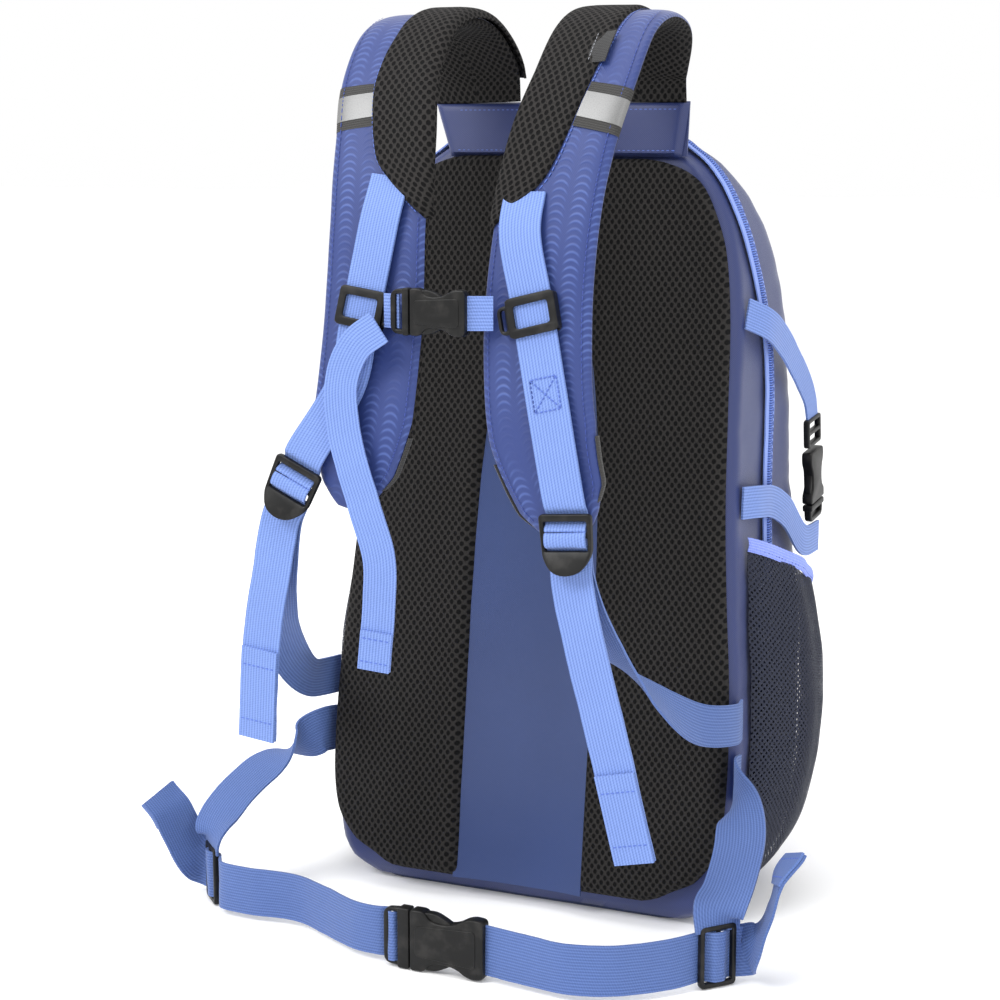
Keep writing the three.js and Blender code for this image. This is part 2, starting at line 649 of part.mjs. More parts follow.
const BELT_Y = -208.5;
const BELT_JOIN = -11;
{
  const { socket, plug } = buckleSizes(BELT_WEB);
  // the buckle stands on its edge on the floor
  const lift = buckleSizes(BELT_WEB).width / 2 + 0.1;
  const z = lift;
  const at = V(BELT_JOIN, BELT_Y, z);
  add('belt_socket', place(socketOf(BELT_WEB), at, X, V(0, -1, 0)), ACETAL);
  add('belt_plug', place(plugOf(BELT_WEB), at, X, V(0, -1, 0)), ACETAL);
  const flat = (points) => points.map(([x, y]) => V(x, y, z));
  const socketEnd = BELT_JOIN + socket + GAP;
  const plugEnd = BELT_JOIN - plug - GAP;
  const runs = {
    left: flat([[socketEnd, BELT_Y], [64, -213], [90, -216], [116, -207], [141, -185], [153, -170]]),
    right: flat([[plugEnd, BELT_Y], [-52, -204], [-80, -190], [-110, -178], [-140, -180], [-162, -177], [-171, -168]]),
  };
  Object.entries(runs).forEach(([tag, run]) => {
    const side = tag === 'left' ? 1 : -1;
    const out = run.at(-1).clone().sub(run.at(-2)).normalize();
    add(`belt_webbing_${tag}`, webbing(run, BELT_WEB, Z, 22), WEBBING);
    const glideHalf = triGlideLength(BELT_WEB) / 2;
    const glide = run.at(-1).clone().addScaledVector(out, glideHalf + 1.2);
    add(`tri_glide_${tag}`, place(triGlideOf(BELT_WEB), glide, out, out.clone().cross(Z)), ACETAL);
    const anchor = V(side * (level(BELT_ANCHOR).half + SIDE_LIFT), backAt(BELT_ANCHOR) + 5, BELT_ANCHOR);
    const start = glide.clone().add(V(0, 0, lift + 1.4));
    const rise = side > 0
      ? [V(163, -146, 56), V(161, -122, 74), V(151, -94, 90)]
      : [V(-181, -144, 56), V(-172, -118, 74), V(-154, -92, 90)];
    add(`belt_wing_${tag}`, webbing([start, start.clone().add(V(0, 0.5, 5)), ...outward(rise, side),
      anchor.clone().add(V(side * 2, -14, 1)), anchor],
      BELT_WEB, (t) => out.clone().multiplyScalar(side).lerp(X, smoothstep(t, 0.05, 0.35))
        .lerp(Z, smoothstep(t, 0.5, 0.8)), 24), WEBBING);
    const outer = glide.clone().addScaledVector(out, glideHalf + 0.8);
    const tail = side > 0
      ? [V(12, 2, 8), V(19, 4, 26), V(23, 10, 44), V(29, 20, 56)]
      : [V(-11, 0, 8), V(-17, -5, 24), V(-22, -9, 38), V(-30, -11, 48)];
    add(`belt_tail_${tag}`, webbing([outer, outer.clone().addScaledVector(out, 5),
      ...tail.map((p) => p.add(outer))], BELT_WEB,
    (t) => Z.clone().lerp(V(-0.3 * side, 0.95, 0.1), smoothstep(t, 0.15, 0.6)), 16), WEBBING);
  });
}

// ---- Side pockets ---------------------------------------------------------

const pocketTop = (u) => lerp(POCKET_BACK_TOP, POCKET_FRONT_TOP, u);
const pocketPoint = (side, u, z, lift) => {
  const { half, back, front, radius } = level(z);
  const y = lerp(back + 20, front - radius * 0.8, u);
  const over = Math.max(0, y - (front - radius));
  const edge = half - radius + Math.sqrt(Math.max(0, radius ** 2 - over ** 2));
  const v = (z - POCKET_LOW) / (pocketTop(u) - POCKET_LOW);
  const belly = Math.sin(Math.PI * u) ** 0.7 * Math.sin(Math.PI * (0.015 + 0.785 * v)) ** 0.6;
  return V(side * (edge + GAP + 0.25 + lift + POCKET_BULGE * belly), y, z);
};

[['left', 1], ['right', -1]].forEach(([tag, side]) => {
  const out = V(side, 0, 0);
  add(`side_pocket_${tag}`, sheet(16, 11, (u, v) => {
    const along = side > 0 ? u : 1 - u;
    return pocketPoint(side, along, lerp(POCKET_LOW, pocketTop(along), v), 0);
  }, () => out, CLOTH), NAVY);
  add(`pocket_elastic_${tag}`, sheet(14, 1, (u, v) => {
    const rim = pocketPoint(side, u, pocketTop(u), -0.25);
    return rim.add(V(0, 0, GAP + v * ELASTIC));
  }, () => out, CLOTH + 1), ELASTIC_CLOTH);
});

// ---- Compression straps ---------------------------------------------------

const SIDE_STRAP_X = level(LID_HEIGHT).half + 4;
const SIDE_STRAP_TOP = 377;
const SIDE_STRAP_LOW = 262;
[['left', 1], ['right', -1]].forEach(([tag, side]) => {
  const seam = (z) => V(side * (level(z).half + SIDE_LIFT + 0.8), backAt(z) + 11, z);
  const x = side * SIDE_STRAP_X;
  const join = V(x + side * 1.5, 84, 246);
  const axis = V(0, 0.12, -1).normalize();
  const across = V(0, 1, 0.12);
  const { socket, plug } = buckleSizes(SIDE_WEB);
  const alongUp = axis.clone().negate();
  add(`side_socket_${tag}`, place(socketOf(SIDE_WEB), join, alongUp, V(side, 0, 0)), ACETAL);
  add(`side_plug_${tag}`, place(plugOf(SIDE_WEB), join, alongUp, V(side, 0, 0)), ACETAL);
  const up = (distance) => join.clone().addScaledVector(axis, -distance);
  const glideHalf = triGlideLength(SIDE_WEB) / 2;
  const glide = socket + 3 + glideHalf;
  add(`side_adjuster_${tag}`, place(triGlideOf(SIDE_WEB), up(glide), alongUp, V(side, 0, 0)), ACETAL);
  const top = up(glide + glideHalf + 3.8);
  const high = seam(SIDE_STRAP_TOP);
  add(`side_strap_upper_${tag}`, webbing([high, V(x - side, high.y + 14, high.z - 7),
    V(x, high.y + 40, high.z - 19), V(x, top.y - 26, top.z + 29), V(x + side, top.y - 5, top.z + 10), top],
  SIDE_WEB, (t) => V(0, 0.5, 0.85).lerp(across, smoothstep(t, 0.45, 0.95)), 20), WEBBING);
  const low = seam(SIDE_STRAP_LOW);
  const end = join.clone().addScaledVector(axis, plug + SIDE_WEB / 2 + 3).add(V(0, 9, 0));
  add(`side_strap_lower_${tag}`, webbing([low, V(x - side, low.y + 16, low.z - 1),
    V(x, low.y + 42, low.z - 5), V(x + side, low.y + 68, low.z - 16),
    V(x + side * 1.5, end.y - 32, end.z + 2), end], SIDE_WEB, Z, 20), WEBBING);
});

// ---- Zips -----------------------------------------------------------------

const ZIP_LEVELS = [LID_HEIGHT + 2, 232, 260, 290, 320, 350, 375, 395, 415, 430, 445, 456, 466, 474];
const tapeLift = TAPE_THICK / 2 + GAP + 0.5;
const zipOutline = () => {
  const up = ZIP_LEVELS.map((z) => [level(z).half, z]);
  const top = [75, 50, 25].map((x) => [spread(x), BAG_TOP]);
  const half = [...up, ...top];
  return [...half, [0, BAG_TOP], ...half.slice().reverse().map(([x, z]) => [-x, z])];
};
const zipTape = (offset) => {
  const line = zipOutline();
  return rings(line.map(([x, z], i) => {
    const [ax, az] = line[Math.max(0, i - 1)];
    const [bx, bz] = line[Math.min(line.length - 1, i + 1)];
    const n = V(bz - az, 0, ax - bx).normalize();
    const c = V(x, zipAt(z) + offset, z).addScaledVector(n, tapeLift);
    return [[-1, -1], [1, -1], [1, 1], [-1, 1]].map(([a, b]) => c.clone()
      .add(V(0, (a * TAPE) / 2, 0)).addScaledVector(n, (b * TAPE_THICK) / 2));
  }));
};
const tapeOffset = TAPE / 2 + GAP;
add('zip_tape_rear', zipTape(-tapeOffset), ZIP_CLOTH);
add('zip_tape_front', zipTape(tapeOffset), ZIP_CLOTH);

// A zip slider and its pull, lying along the zip; up points away from the cloth.
const PULL = 24;
const SLIDER = [9, 8, 3.6];
const zipSlider = (name, at, along, up) => {
  const body = place(solidSlider(), at, along, up);
  add(`${name}_slider`, body, ZINC);
  const pull = roundedBlock(0, PULL, 5.5, 1.2, 2).translate(SLIDER[0] / 2 + 1.2, 0, SLIDER[2] - 0.6);
  add(`${name}_pull`, place(pull, at, along, up), ZINC);
};
const solidSlider = () => box(SLIDER[0], SLIDER[1], SLIDER[2], 0, 0, SLIDER[2] / 2);

const ZIP_REST = 46;           // the closed slider stops off centre
const onTape = V(0, zipAt(BAG_TOP), BAG_TOP + tapeLift + TAPE_THICK / 2 + GAP);
zipSlider('main_zip', onTape.clone().add(V(-ZIP_REST, 0, 0)), X, Z);

// ---- Front pocket ---------------------------------------------------------

const frontAt = (x, z) => {
  const { half, front, radius } = level(z);
  const over = Math.max(0, Math.abs(x) - (half - radius));
  return front - radius + Math.sqrt(radius ** 2 - over ** 2);
};
add('front_pocket', sheet(16, 12, (u, v) => {
  const x = lerp(-FRONT_POCKET_HALF, FRONT_POCKET_HALF, u);
  const z = lerp(FRONT_POCKET_LOW, FRONT_POCKET_TOP, v);
  const belly = (Math.sin(Math.PI * u) * Math.sin(Math.PI * v)) ** 0.4;
  return V(x, frontAt(x, z) + GAP + 0.25 + FRONT_POCKET_BULGE * belly, z);
}, () => V(0, 1, 0), CLOTH), TWILL);

const FRONT_ZIP_HEIGHT = FRONT_POCKET_TOP + 8;
const FRONT_ZIP_HALF = 70;
{
  const slopeStep = 2;
  const rise = V(0, frontAt(0, FRONT_ZIP_HEIGHT + slopeStep) - frontAt(0, FRONT_ZIP_HEIGHT - slopeStep),
    2 * slopeStep).normalize();
  const out = V(0, rise.z, -rise.y);
  const at = V(0, frontAt(0, FRONT_ZIP_HEIGHT), FRONT_ZIP_HEIGHT).addScaledVector(out, tapeLift);
  add('front_zip_tape', band(curve([-1, 0, 1].map((f) => at.clone().add(V(f * FRONT_ZIP_HALF, 0, 0)))), {
    steps: 8, across: () => rise, half: () => 6, thick: () => TAPE_THICK,
  }), ZIP_CLOTH);
  const rest = at.clone().add(V(-FRONT_ZIP_HALF + 8, 0, 0)).addScaledVector(out, TAPE_THICK / 2 + GAP);
  zipSlider('front_zip', rest, X, out);
}

// ---- Haul loop and inner sleeve -------------------------------------------

{
  const y = backAt(YOKE_TOP) - YOKE_THICK / 2;
  const z = YOKE_TOP + 2.6;
  const reach = [[-13, 0, 0], [-13.5, 5, 9], [-9, 10, 16], [2, 13, 20], [13, 10, 16], [17.5, 5, 9], [17, 0, 0]];
  add('haul_loop', band(curve(reach.map(([dx, dy, dz]) => V(dx, y + dy, z + dz))), {
    steps: 16, across: () => V(0, 0.86, -0.5), half: () => 7, thick: () => WEB_THICK + 0.5,
  }), WEBBING);
}
{
  const half = 104;
  const low = slope(24);
  const high = slope(330);
  const outline = new THREE.Shape();
  outline.moveTo(-half, low);
  outline.lineTo(half, low);
  outline.lineTo(half, high);
  outline.lineTo(-half, high);
  outline.closePath();
  add('inner_sleeve', onBack(new THREE.ExtrudeGeometry(outline, { depth: CLOTH, bevelEnabled: false }),
    -WALL - 4 - CLOTH), LINING);
}

export default root;
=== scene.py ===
"""Hiking day pack: cloth, foam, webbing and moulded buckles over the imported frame."""
import json
import math

import bmesh
import bpy
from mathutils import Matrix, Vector, noise


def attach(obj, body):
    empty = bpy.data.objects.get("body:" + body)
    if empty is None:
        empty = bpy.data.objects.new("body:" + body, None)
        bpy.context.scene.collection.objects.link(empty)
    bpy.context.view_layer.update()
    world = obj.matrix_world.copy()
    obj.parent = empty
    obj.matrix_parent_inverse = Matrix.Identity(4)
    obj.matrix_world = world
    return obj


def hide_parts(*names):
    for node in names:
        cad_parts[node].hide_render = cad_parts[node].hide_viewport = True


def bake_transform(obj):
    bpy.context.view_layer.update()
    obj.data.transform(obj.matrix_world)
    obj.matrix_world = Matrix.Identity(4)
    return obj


bl_info = {
    "name": "Hiking Day Pack",
    "version": (1, 0, 0),
    "blender": (4, 5, 0),
    "location": "3D View > Sidebar > Day Pack",
    "description": "Builds the soft goods and hardware of a hiking day pack",
    "category": "Add Mesh",
}

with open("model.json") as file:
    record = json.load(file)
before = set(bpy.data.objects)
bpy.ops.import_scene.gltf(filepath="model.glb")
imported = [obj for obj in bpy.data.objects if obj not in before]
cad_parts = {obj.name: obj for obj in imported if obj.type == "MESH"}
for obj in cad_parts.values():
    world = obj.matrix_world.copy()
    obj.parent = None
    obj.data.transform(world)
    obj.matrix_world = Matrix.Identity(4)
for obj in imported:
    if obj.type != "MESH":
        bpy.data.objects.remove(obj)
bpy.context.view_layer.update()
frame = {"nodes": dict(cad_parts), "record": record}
NODES = frame["nodes"]
BODY_OF = {n: b for b, names in frame["record"]["behaviour"]["bodies"].items() for n in names}
MM = 0.001

# ---- Sizes and colours ------------------------------------------------------


class PackSizes(bpy.types.PropertyGroup):
    """Real sizes of cloth, thread and webbing, in millimetres."""

    webbing_thick: bpy.props.FloatProperty(
        name="Webbing thickness", description="Thickness of all webbing, mm", default=1.5, min=0.8, max=3)
    rib_pitch: bpy.props.FloatProperty(
        name="Webbing rib", description="Distance between webbing ribs, mm", default=1.9, min=1, max=4)
    mesh_pitch: bpy.props.FloatProperty(
        name="Air mesh pitch", description="Distance between holes of the air mesh, mm", default=4.6, min=2, max=8)
    pad_crown: bpy.props.FloatProperty(
        name="Pad crown", description="How far the back pads swell past their edge, mm", default=2.2, min=0, max=5)
    stitch_pitch: bpy.props.FloatProperty(
        name="Stitch pitch", description="Distance from stitch to stitch, mm", default=3.2, min=2, max=6)


class PackColours(bpy.types.PropertyGroup):
    """Colours of the cloths and webbings, as sRGB hex."""

    twill: bpy.props.StringProperty(name="Strap twill", description="Shoulder straps and channel", default="#1d3270")
    side: bpy.props.StringProperty(name="Side cloth", description="Gussets, lid and yoke", default="#17255b")
    webbing: bpy.props.StringProperty(name="Webbing", description="All straps", default="#6683c6")
    belt: bpy.props.StringProperty(name="Belt webbing", description="Hip belt and lower straps", default="#425e9a")
    elastic: bpy.props.StringProperty(name="Elastic", description="Side pocket edge", default="#8a9ffb")
    mesh: bpy.props.StringProperty(name="Air mesh", description="Back and strap padding", default="#32302f")
    moulding: bpy.props.StringProperty(name="Buckles", description="Moulded hardware", default="#0e0e0e")


def sizes():
    return bpy.context.scene.pack_sizes


def colours():
    return bpy.context.scene.pack_colours


def hex_rgba(text):
    """An sRGB hex colour as linear RGBA."""
    parts = [int(text[i:i + 2], 16) / 255 for i in (1, 3, 5)]
    return [c / 12.92 if c <= 0.04045 else ((c + 0.055) / 1.055) ** 2.4 for c in parts] + [1.0]


# ---- Materials --------------------------------------------------------------


def put(tree, kind, inputs=None, **settings):
    """Adds one node with its settings, values and links."""
    made = tree.nodes.new(kind)
    for key, value in settings.items():
        setattr(made, key, value)
    for key, value in (inputs or {}).items():
        if isinstance(value, bpy.types.NodeSocket):
            tree.links.new(value, made.inputs[key])
        else:
            made.inputs[key].default_value = value
    return made


def surface(name, colour, height=None, distance=0.0004, strength=0.8, **shader):
    """A principled surface: colour is a hex text or a function that gives the colour and height sockets."""
    material = bpy.data.materials.get(name)
    if material:
        return material
    material = bpy.data.materials.new(name)
    material.use_nodes = True
    tree = material.node_tree
    tree.nodes.clear()
    inputs = {key.replace("_", " "): value for key, value in shader.items()}
    bump_from, alpha = height, None
    if callable(colour):
        found = colour(tree)
        inputs["Base Color"], bump_from = found[0], found[1]
        alpha = found[2] if len(found) > 2 else None
    else:
        inputs["Base Color"] = hex_rgba(colour)
    if bump_from is not None:
        bump = put(tree, "ShaderNodeBump", {"Height": bump_from, "Strength": strength, "Distance": distance})
        inputs["Normal"] = bump.outputs["Normal"]
    if alpha is not None:
        inputs["Alpha"] = alpha
    principled = put(tree, "ShaderNodeBsdfPrincipled", inputs)
    put(tree, "ShaderNodeOutputMaterial", {"Surface": principled.outputs["BSDF"]})
    return material


def cloth_axes(tree):
    """Sockets for millimetres across and along the cloth, from its own map."""
    uv = put(tree, "ShaderNodeUVMap", uv_map="cloth")
    return put(tree, "ShaderNodeSeparateXYZ", {0: uv.outputs["UV"]}).outputs


def embossed_twill():
    """600D polyester twill with an embossed crescent pattern: low sheen, and a painted sheen that makes the raised arcs
    slightly lighter in patches.
    """
    def pattern(tree):
        across, along, _ = cloth_axes(tree)
        spot = put(tree, "ShaderNodeTexCoord").outputs["Object"]
        column = put(tree, "ShaderNodeMath", {0: across, 1: 1 / 13.0}, operation="MULTIPLY")
        within = put(tree, "ShaderNodeMath", {0: column.outputs[0]}, operation="FRACT")
        offset = put(tree, "ShaderNodeMath", {0: within.outputs[0], 1: 0.5}, operation="SUBTRACT")
        squared = put(tree, "ShaderNodeMath", {0: offset.outputs[0], 1: offset.outputs[0]}, operation="MULTIPLY")
        # arcs 4.4 mm apart that sag 3 mm over their width
        sag = put(tree, "ShaderNodeMath", {0: squared.outputs[0], 1: -20.0, 2: along}, operation="MULTIPLY_ADD")
        row = put(tree, "ShaderNodeMath", {0: sag.outputs[0], 1: 1 / 4.4}, operation="MULTIPLY")
        phase = put(tree, "ShaderNodeMath", {0: row.outputs[0]}, operation="FRACT")
        ramp = put(tree, "ShaderNodeMath", {0: phase.outputs[0], 1: 0.5}, operation="PINGPONG")
        line = put(tree, "ShaderNodeMapRange", {"Value": ramp.outputs[0], "From Min": 0.2, "From Max": 0.48},
                   interpolation_type="SMOOTHSTEP").outputs["Result"]
        edge = put(tree, "ShaderNodeMath", {0: offset.outputs[0]}, operation="ABSOLUTE")
        fade = put(tree, "ShaderNodeMapRange", {"Value": edge.outputs[0], "From Min": 0.44, "From Max": 0.2},
                   interpolation_type="SMOOTHSTEP").outputs["Result"]
        cloud = put(tree, "ShaderNodeTexNoise", {"Vector": spot, "Scale": 22.0, "Detail": 2.0})
        patch = put(tree, "ShaderNodeMapRange", {"Value": cloud.outputs["Fac"], "From Min": 0.35, "From Max": 0.65},
                   interpolation_type="SMOOTHSTEP").outputs["Result"]
        arc = put(tree, "ShaderNodeMath", {0: line, 1: fade}, operation="MULTIPLY")
        shown = put(tree, "ShaderNodeMath", {0: arc.outputs[0], 1: patch}, operation="MULTIPLY")
        # twill lines are drawn 1.3 mm apart, coarser than the 0.5 mm of the cloth, so that they show
        slant = put(tree, "ShaderNodeMath", {0: across, 1: along}, operation="ADD")
        wave = put(tree, "ShaderNodeMath", {0: slant.outputs[0], 1: 2 * math.pi / 1.3}, operation="MULTIPLY")
        weave = put(tree, "ShaderNodeMath", {0: wave.outputs[0]}, operation="SINE")
        base = hex_rgba(colours().twill)
        dark = put(tree, "ShaderNodeMix", {0: weave.outputs[0], 6: base, 7: [c * 0.93 for c in base[:3]] + [1]},
                   data_type="RGBA")
        # painted sheen: the raised arcs are mixed lighter, towards #6580c8, where the noise patches let them show
        lit = put(tree, "ShaderNodeMath", {0: shown.outputs[0], 1: 0.3}, operation="MULTIPLY")
        mixed = put(tree, "ShaderNodeMix", {0: lit.outputs[0], 6: dark.outputs[2], 7: hex_rgba("#6580c8")},
                    data_type="RGBA")
        raised = put(tree, "ShaderNodeMath", {0: weave.outputs[0], 1: 0.12, 2: arc.outputs[0]},
                     operation="MULTIPLY_ADD")
        return mixed.outputs[2], raised.outputs[0]
    return surface("embossed_polyester_twill", pattern, distance=0.0003, strength=0.5, Roughness=0.55,
                   Sheen_Weight=0.25, Sheen_Roughness=0.4)


def side_cloth(name="coated_polyester_plain", hexes=None):
    """Coated 420D polyester: satin, with a fine plain weave and soft clouding."""
    def pattern(tree):
        across, along, _ = cloth_axes(tree)
        spot = put(tree, "ShaderNodeTexCoord").outputs["Object"]
        # threads are drawn 1.2 mm apart, about twice their real spacing, so that they show
        one = put(tree, "ShaderNodeMath", {0: across, 1: 2 * math.pi / 1.2}, operation="MULTIPLY")
        two = put(tree, "ShaderNodeMath", {0: along, 1: 2 * math.pi / 1.2}, operation="MULTIPLY")
        s1 = put(tree, "ShaderNodeMath", {0: one.outputs[0]}, operation="SINE")
        s2 = put(tree, "ShaderNodeMath", {0: two.outputs[0]}, operation="SINE")
        weave = put(tree, "ShaderNodeMath", {0: s1.outputs[0], 1: s2.outputs[0]}, operation="MULTIPLY")
        cloud = put(tree, "ShaderNodeTexNoise", {"Vector": spot, "Scale": 9.0, "Detail": 3.0})
        base = hex_rgba(hexes or colours().side)
        tone = put(tree, "ShaderNodeMix", {0: cloud.outputs["Fac"], 6: [c * 0.84 for c in base[:3]] + [1],
                                           7: [min(1, c * 1.16) for c in base[:3]] + [1]}, data_type="RGBA")
        amount = put(tree, "ShaderNodeMath", {0: weave.outputs[0], 1: 0.08, 2: 0.05}, operation="MULTIPLY_ADD")
        mixed = put(tree, "ShaderNodeMix", {0: amount.outputs[0], 6: tone.outputs[2], 7: hex_rgba("#6f83bd")},
                    data_type="RGBA")
        return mixed.outputs[2], weave.outputs[0]
    return surface(name, pattern, distance=0.00012, strength=0.35, Roughness=0.42, Sheen_Weight=0.15,
                   Sheen_Roughness=0.4)


def air_mesh(name="black_spacer_mesh", pitch=None, hole=(0.26, 0.44)):
    """3D spacer mesh: matt black knit with tall holes in slanting rows, open down to shadow."""
    def pattern(tree):
        uv = put(tree, "ShaderNodeUVMap", uv_map="cloth")
        spot = put(tree, "ShaderNodeTexCoord").outputs["Object"]
        cell = (pitch or sizes().mesh_pitch) / math.sqrt(2)
        turned = put(tree, "ShaderNodeMapping", {"Vector": uv.outputs["UV"], "Rotation": (0, 0, math.radians(45)),
                                                 "Scale": (1 / cell, 0.74 / cell, 1)})
        cells = put(tree, "ShaderNodeTexVoronoi", {"Vector": turned.outputs[0], "Scale": 1.0, "Randomness": 0.06},
                    voronoi_dimensions="2D")
        knit = put(tree, "ShaderNodeMapRange", {"Value": cells.outputs["Distance"], "From Min": hole[0], "From Max": hole[1]},
                   interpolation_type="SMOOTHSTEP").outputs["Result"]
        fine = put(tree, "ShaderNodeTexNoise", {"Vector": spot, "Scale": 900.0, "Detail": 1.0})
        thread = put(tree, "ShaderNodeMath", {0: fine.outputs["Fac"], 1: 0.5, 2: 0.5}, operation="MULTIPLY_ADD")
        lit = put(tree, "ShaderNodeMath", {0: knit, 1: thread.outputs[0]}, operation="MULTIPLY")
        mixed = put(tree, "ShaderNodeMix", {0: lit.outputs[0], 6: hex_rgba("#060607"), 7: hex_rgba(colours().mesh)},
                    data_type="RGBA")
        return mixed.outputs[2], knit
    return surface(name, pattern, distance=0.0011, strength=0.9, Roughness=0.92, Specular_IOR_Level=0.2)


def ribbed(name, hexes, ribs_across=True, pitch=None, light="#9db4f4"):
    """Polypropylene or nylon webbing: ribs along its length, crossed by fine picks, matt to satin, with painted shade
    in the rib valleys and a painted highlight on the crests.
    """
    def pattern(tree):
        across, along, _ = cloth_axes(tree)
        spot = put(tree, "ShaderNodeTexCoord").outputs["Object"]
        rib_axis, pick_axis = (across, along) if ribs_across else (along, across)
        rib = put(tree, "ShaderNodeMath", {0: rib_axis, 1: 2 * math.pi / (pitch or sizes().rib_pitch)},
                  operation="MULTIPLY")
        ribs = put(tree, "ShaderNodeMath", {0: rib.outputs[0]}, operation="COSINE")
        pick = put(tree, "ShaderNodeMath", {0: pick_axis, 1: 2 * math.pi / 1.5}, operation="MULTIPLY")
        half = put(tree, "ShaderNodeMath", {0: rib.outputs[0], 1: 0.5, 2: pick.outputs[0]}, operation="MULTIPLY_ADD")
        picks = put(tree, "ShaderNodeMath", {0: half.outputs[0]}, operation="SINE")
        height = put(tree, "ShaderNodeMath", {0: picks.outputs[0], 1: 0.45, 2: ribs.outputs[0]},
                     operation="MULTIPLY_ADD")
        shade = put(tree, "ShaderNodeMapRange", {"Value": height.outputs[0], "From Min": -1.3, "From Max": 1.2},
                   interpolation_type="SMOOTHSTEP").outputs["Result"]
        base = hex_rgba(hexes)
        cloud = put(tree, "ShaderNodeTexNoise", {"Vector": spot, "Scale": 14.0, "Detail": 2.0})
        soft = put(tree, "ShaderNodeMix", {0: cloud.outputs["Fac"], 6: [c * 0.92 for c in base[:3]] + [1],
                                           7: [min(1, c * 1.08) for c in base[:3]] + [1]}, data_type="RGBA")
        # painted shade and highlight: low darkens the rib valleys, high lightens the crests towards the light colour
        low = put(tree, "ShaderNodeMix", {0: 0.72, 6: [c * 0.3 for c in base[:3]] + [1], 7: soft.outputs[2]},
                  data_type="RGBA")
        high = put(tree, "ShaderNodeMix", {0: 0.22, 6: soft.outputs[2], 7: hex_rgba(light)}, data_type="RGBA")
        mixed = put(tree, "ShaderNodeMix", {0: shade, 6: low.outputs[2], 7: high.outputs[2]}, data_type="RGBA")
        return mixed.outputs[2], height.outputs[0]
    return surface(name, pattern, distance=0.00028, strength=0.45, Roughness=0.7, Sheen_Weight=0.12,
                   Sheen_Roughness=0.5)


def webbing_cloth():
    return ribbed("nylon_webbing", colours().webbing)


def belt_cloth():
    return ribbed("nylon_belt_webbing", colours().belt, pitch=1.8, light="#7d96d4")


def pocket_net():
    """Knitted polyester net: thin dark threads round holes that let the light through."""
    def pattern(tree):
        uv = put(tree, "ShaderNodeUVMap", uv_map="cloth")
        # 2.6 mm cells, a little wider than the real 2 mm, so that the holes show
        turned = put(tree, "ShaderNodeMapping", {"Vector": uv.outputs["UV"], "Rotation": (0, 0, math.radians(45)),
                                                 "Scale": (1 / 2.6, 1 / 2.6, 1)})
        cells = put(tree, "ShaderNodeTexVoronoi", {"Vector": turned.outputs[0], "Scale": 1.0, "Randomness": 0.12},
                    voronoi_dimensions="2D")
        thread = put(tree, "ShaderNodeMapRange", {"Value": cells.outputs["Distance"], "From Min": 0.24, "From Max": 0.34},
                   interpolation_type="SMOOTHSTEP").outputs["Result"]
        solid = put(tree, "ShaderNodeMath", {0: thread, 1: 0.72, 2: 0.28}, operation="MULTIPLY_ADD")
        mixed = put(tree, "ShaderNodeMix", {0: thread, 6: hex_rgba("#0b0d16"), 7: hex_rgba("#1c2134")},
                    data_type="RGBA")
        return mixed.outputs[2], thread, solid.outputs[0]
    return surface("dark_pocket_net", pattern, distance=0.0004, strength=0.7, Roughness=0.8)


def moulded_acetal(name="moulded_acetal", hexes=None, rough=0.4):
    """Injection moulded acetal: near black, fine spark-eroded grain, and a painted highlight that makes it a little
    lighter in patches.
    """
    def pattern(tree):
        place = put(tree, "ShaderNodeTexCoord").outputs["Object"]
        grain = put(tree, "ShaderNodeTexNoise", {"Vector": place, "Scale": 1400.0, "Detail": 2.0})
        # painted highlight: noise patches mix the moulding a little lighter, standing in for light caught on it
        highlight_noise = put(tree, "ShaderNodeTexNoise", {"Vector": place, "Scale": 120.0, "Detail": 4.0})
        patch = put(tree, "ShaderNodeMapRange", {"Value": highlight_noise.outputs["Fac"], "From Min": 0.45, "From Max": 0.75},
                   interpolation_type="SMOOTHSTEP").outputs["Result"]
        amount = put(tree, "ShaderNodeMath", {0: patch, 1: 0.35}, operation="MULTIPLY")
        mixed = put(tree, "ShaderNodeMix", {0: amount.outputs[0], 6: hex_rgba(hexes or colours().moulding),
                                            7: hex_rgba("#3b3937")}, data_type="RGBA")
        return mixed.outputs[2], grain.outputs["Fac"]
    return surface(name, pattern, distance=0.0001, strength=0.35, Roughness=rough, IOR=1.33)


def reflective_tape():
    """Glass-bead reflective tape: bright satin silver with a faint grid."""
    def pattern(tree):
        across, along, _ = cloth_axes(tree)
        grid = put(tree, "ShaderNodeCombineXYZ", {0: across, 1: along})
        beads = put(tree, "ShaderNodeTexVoronoi", {"Vector": grid.outputs[0], "Scale": 1.6},
                    voronoi_dimensions="2D")
        mixed = put(tree, "ShaderNodeMix", {0: beads.outputs["Distance"], 6: hex_rgba("#7c7c7c"),
                                            7: hex_rgba("#6c6d6d")}, data_type="RGBA")
        return mixed.outputs[2], beads.outputs["Distance"]
    return surface("glass_bead_tape", pattern, distance=0.0001, strength=0.4, Roughness=0.38, Metallic=0.25)


def black_tape():
    """Black polyester grosgrain: matt, with fine ribs across it."""
    return ribbed("black_grosgrain", "#242322", ribs_across=False, pitch=1.4, light="#3e3c3a")


def label_damask():
    """Woven damask label: black polyester, matt, with very fine ribs."""
    return ribbed("black_damask", "#18181a", ribs_across=False, pitch=1.2, light="#2c2b2c")


def elastic_cloth():
    """Covered rubber elastic: matt periwinkle, drawn into close ribs across its length."""
    return ribbed("covered_elastic", colours().elastic, ribs_across=False, pitch=1.6, light="#a9aef6")


def zip_tape_cloth():
    """Woven polyester zip tape: light blue herringbone, satin."""
    return ribbed("zip_tape_twill", "#7f9bea", pitch=1.3, light="#b5c6f8")


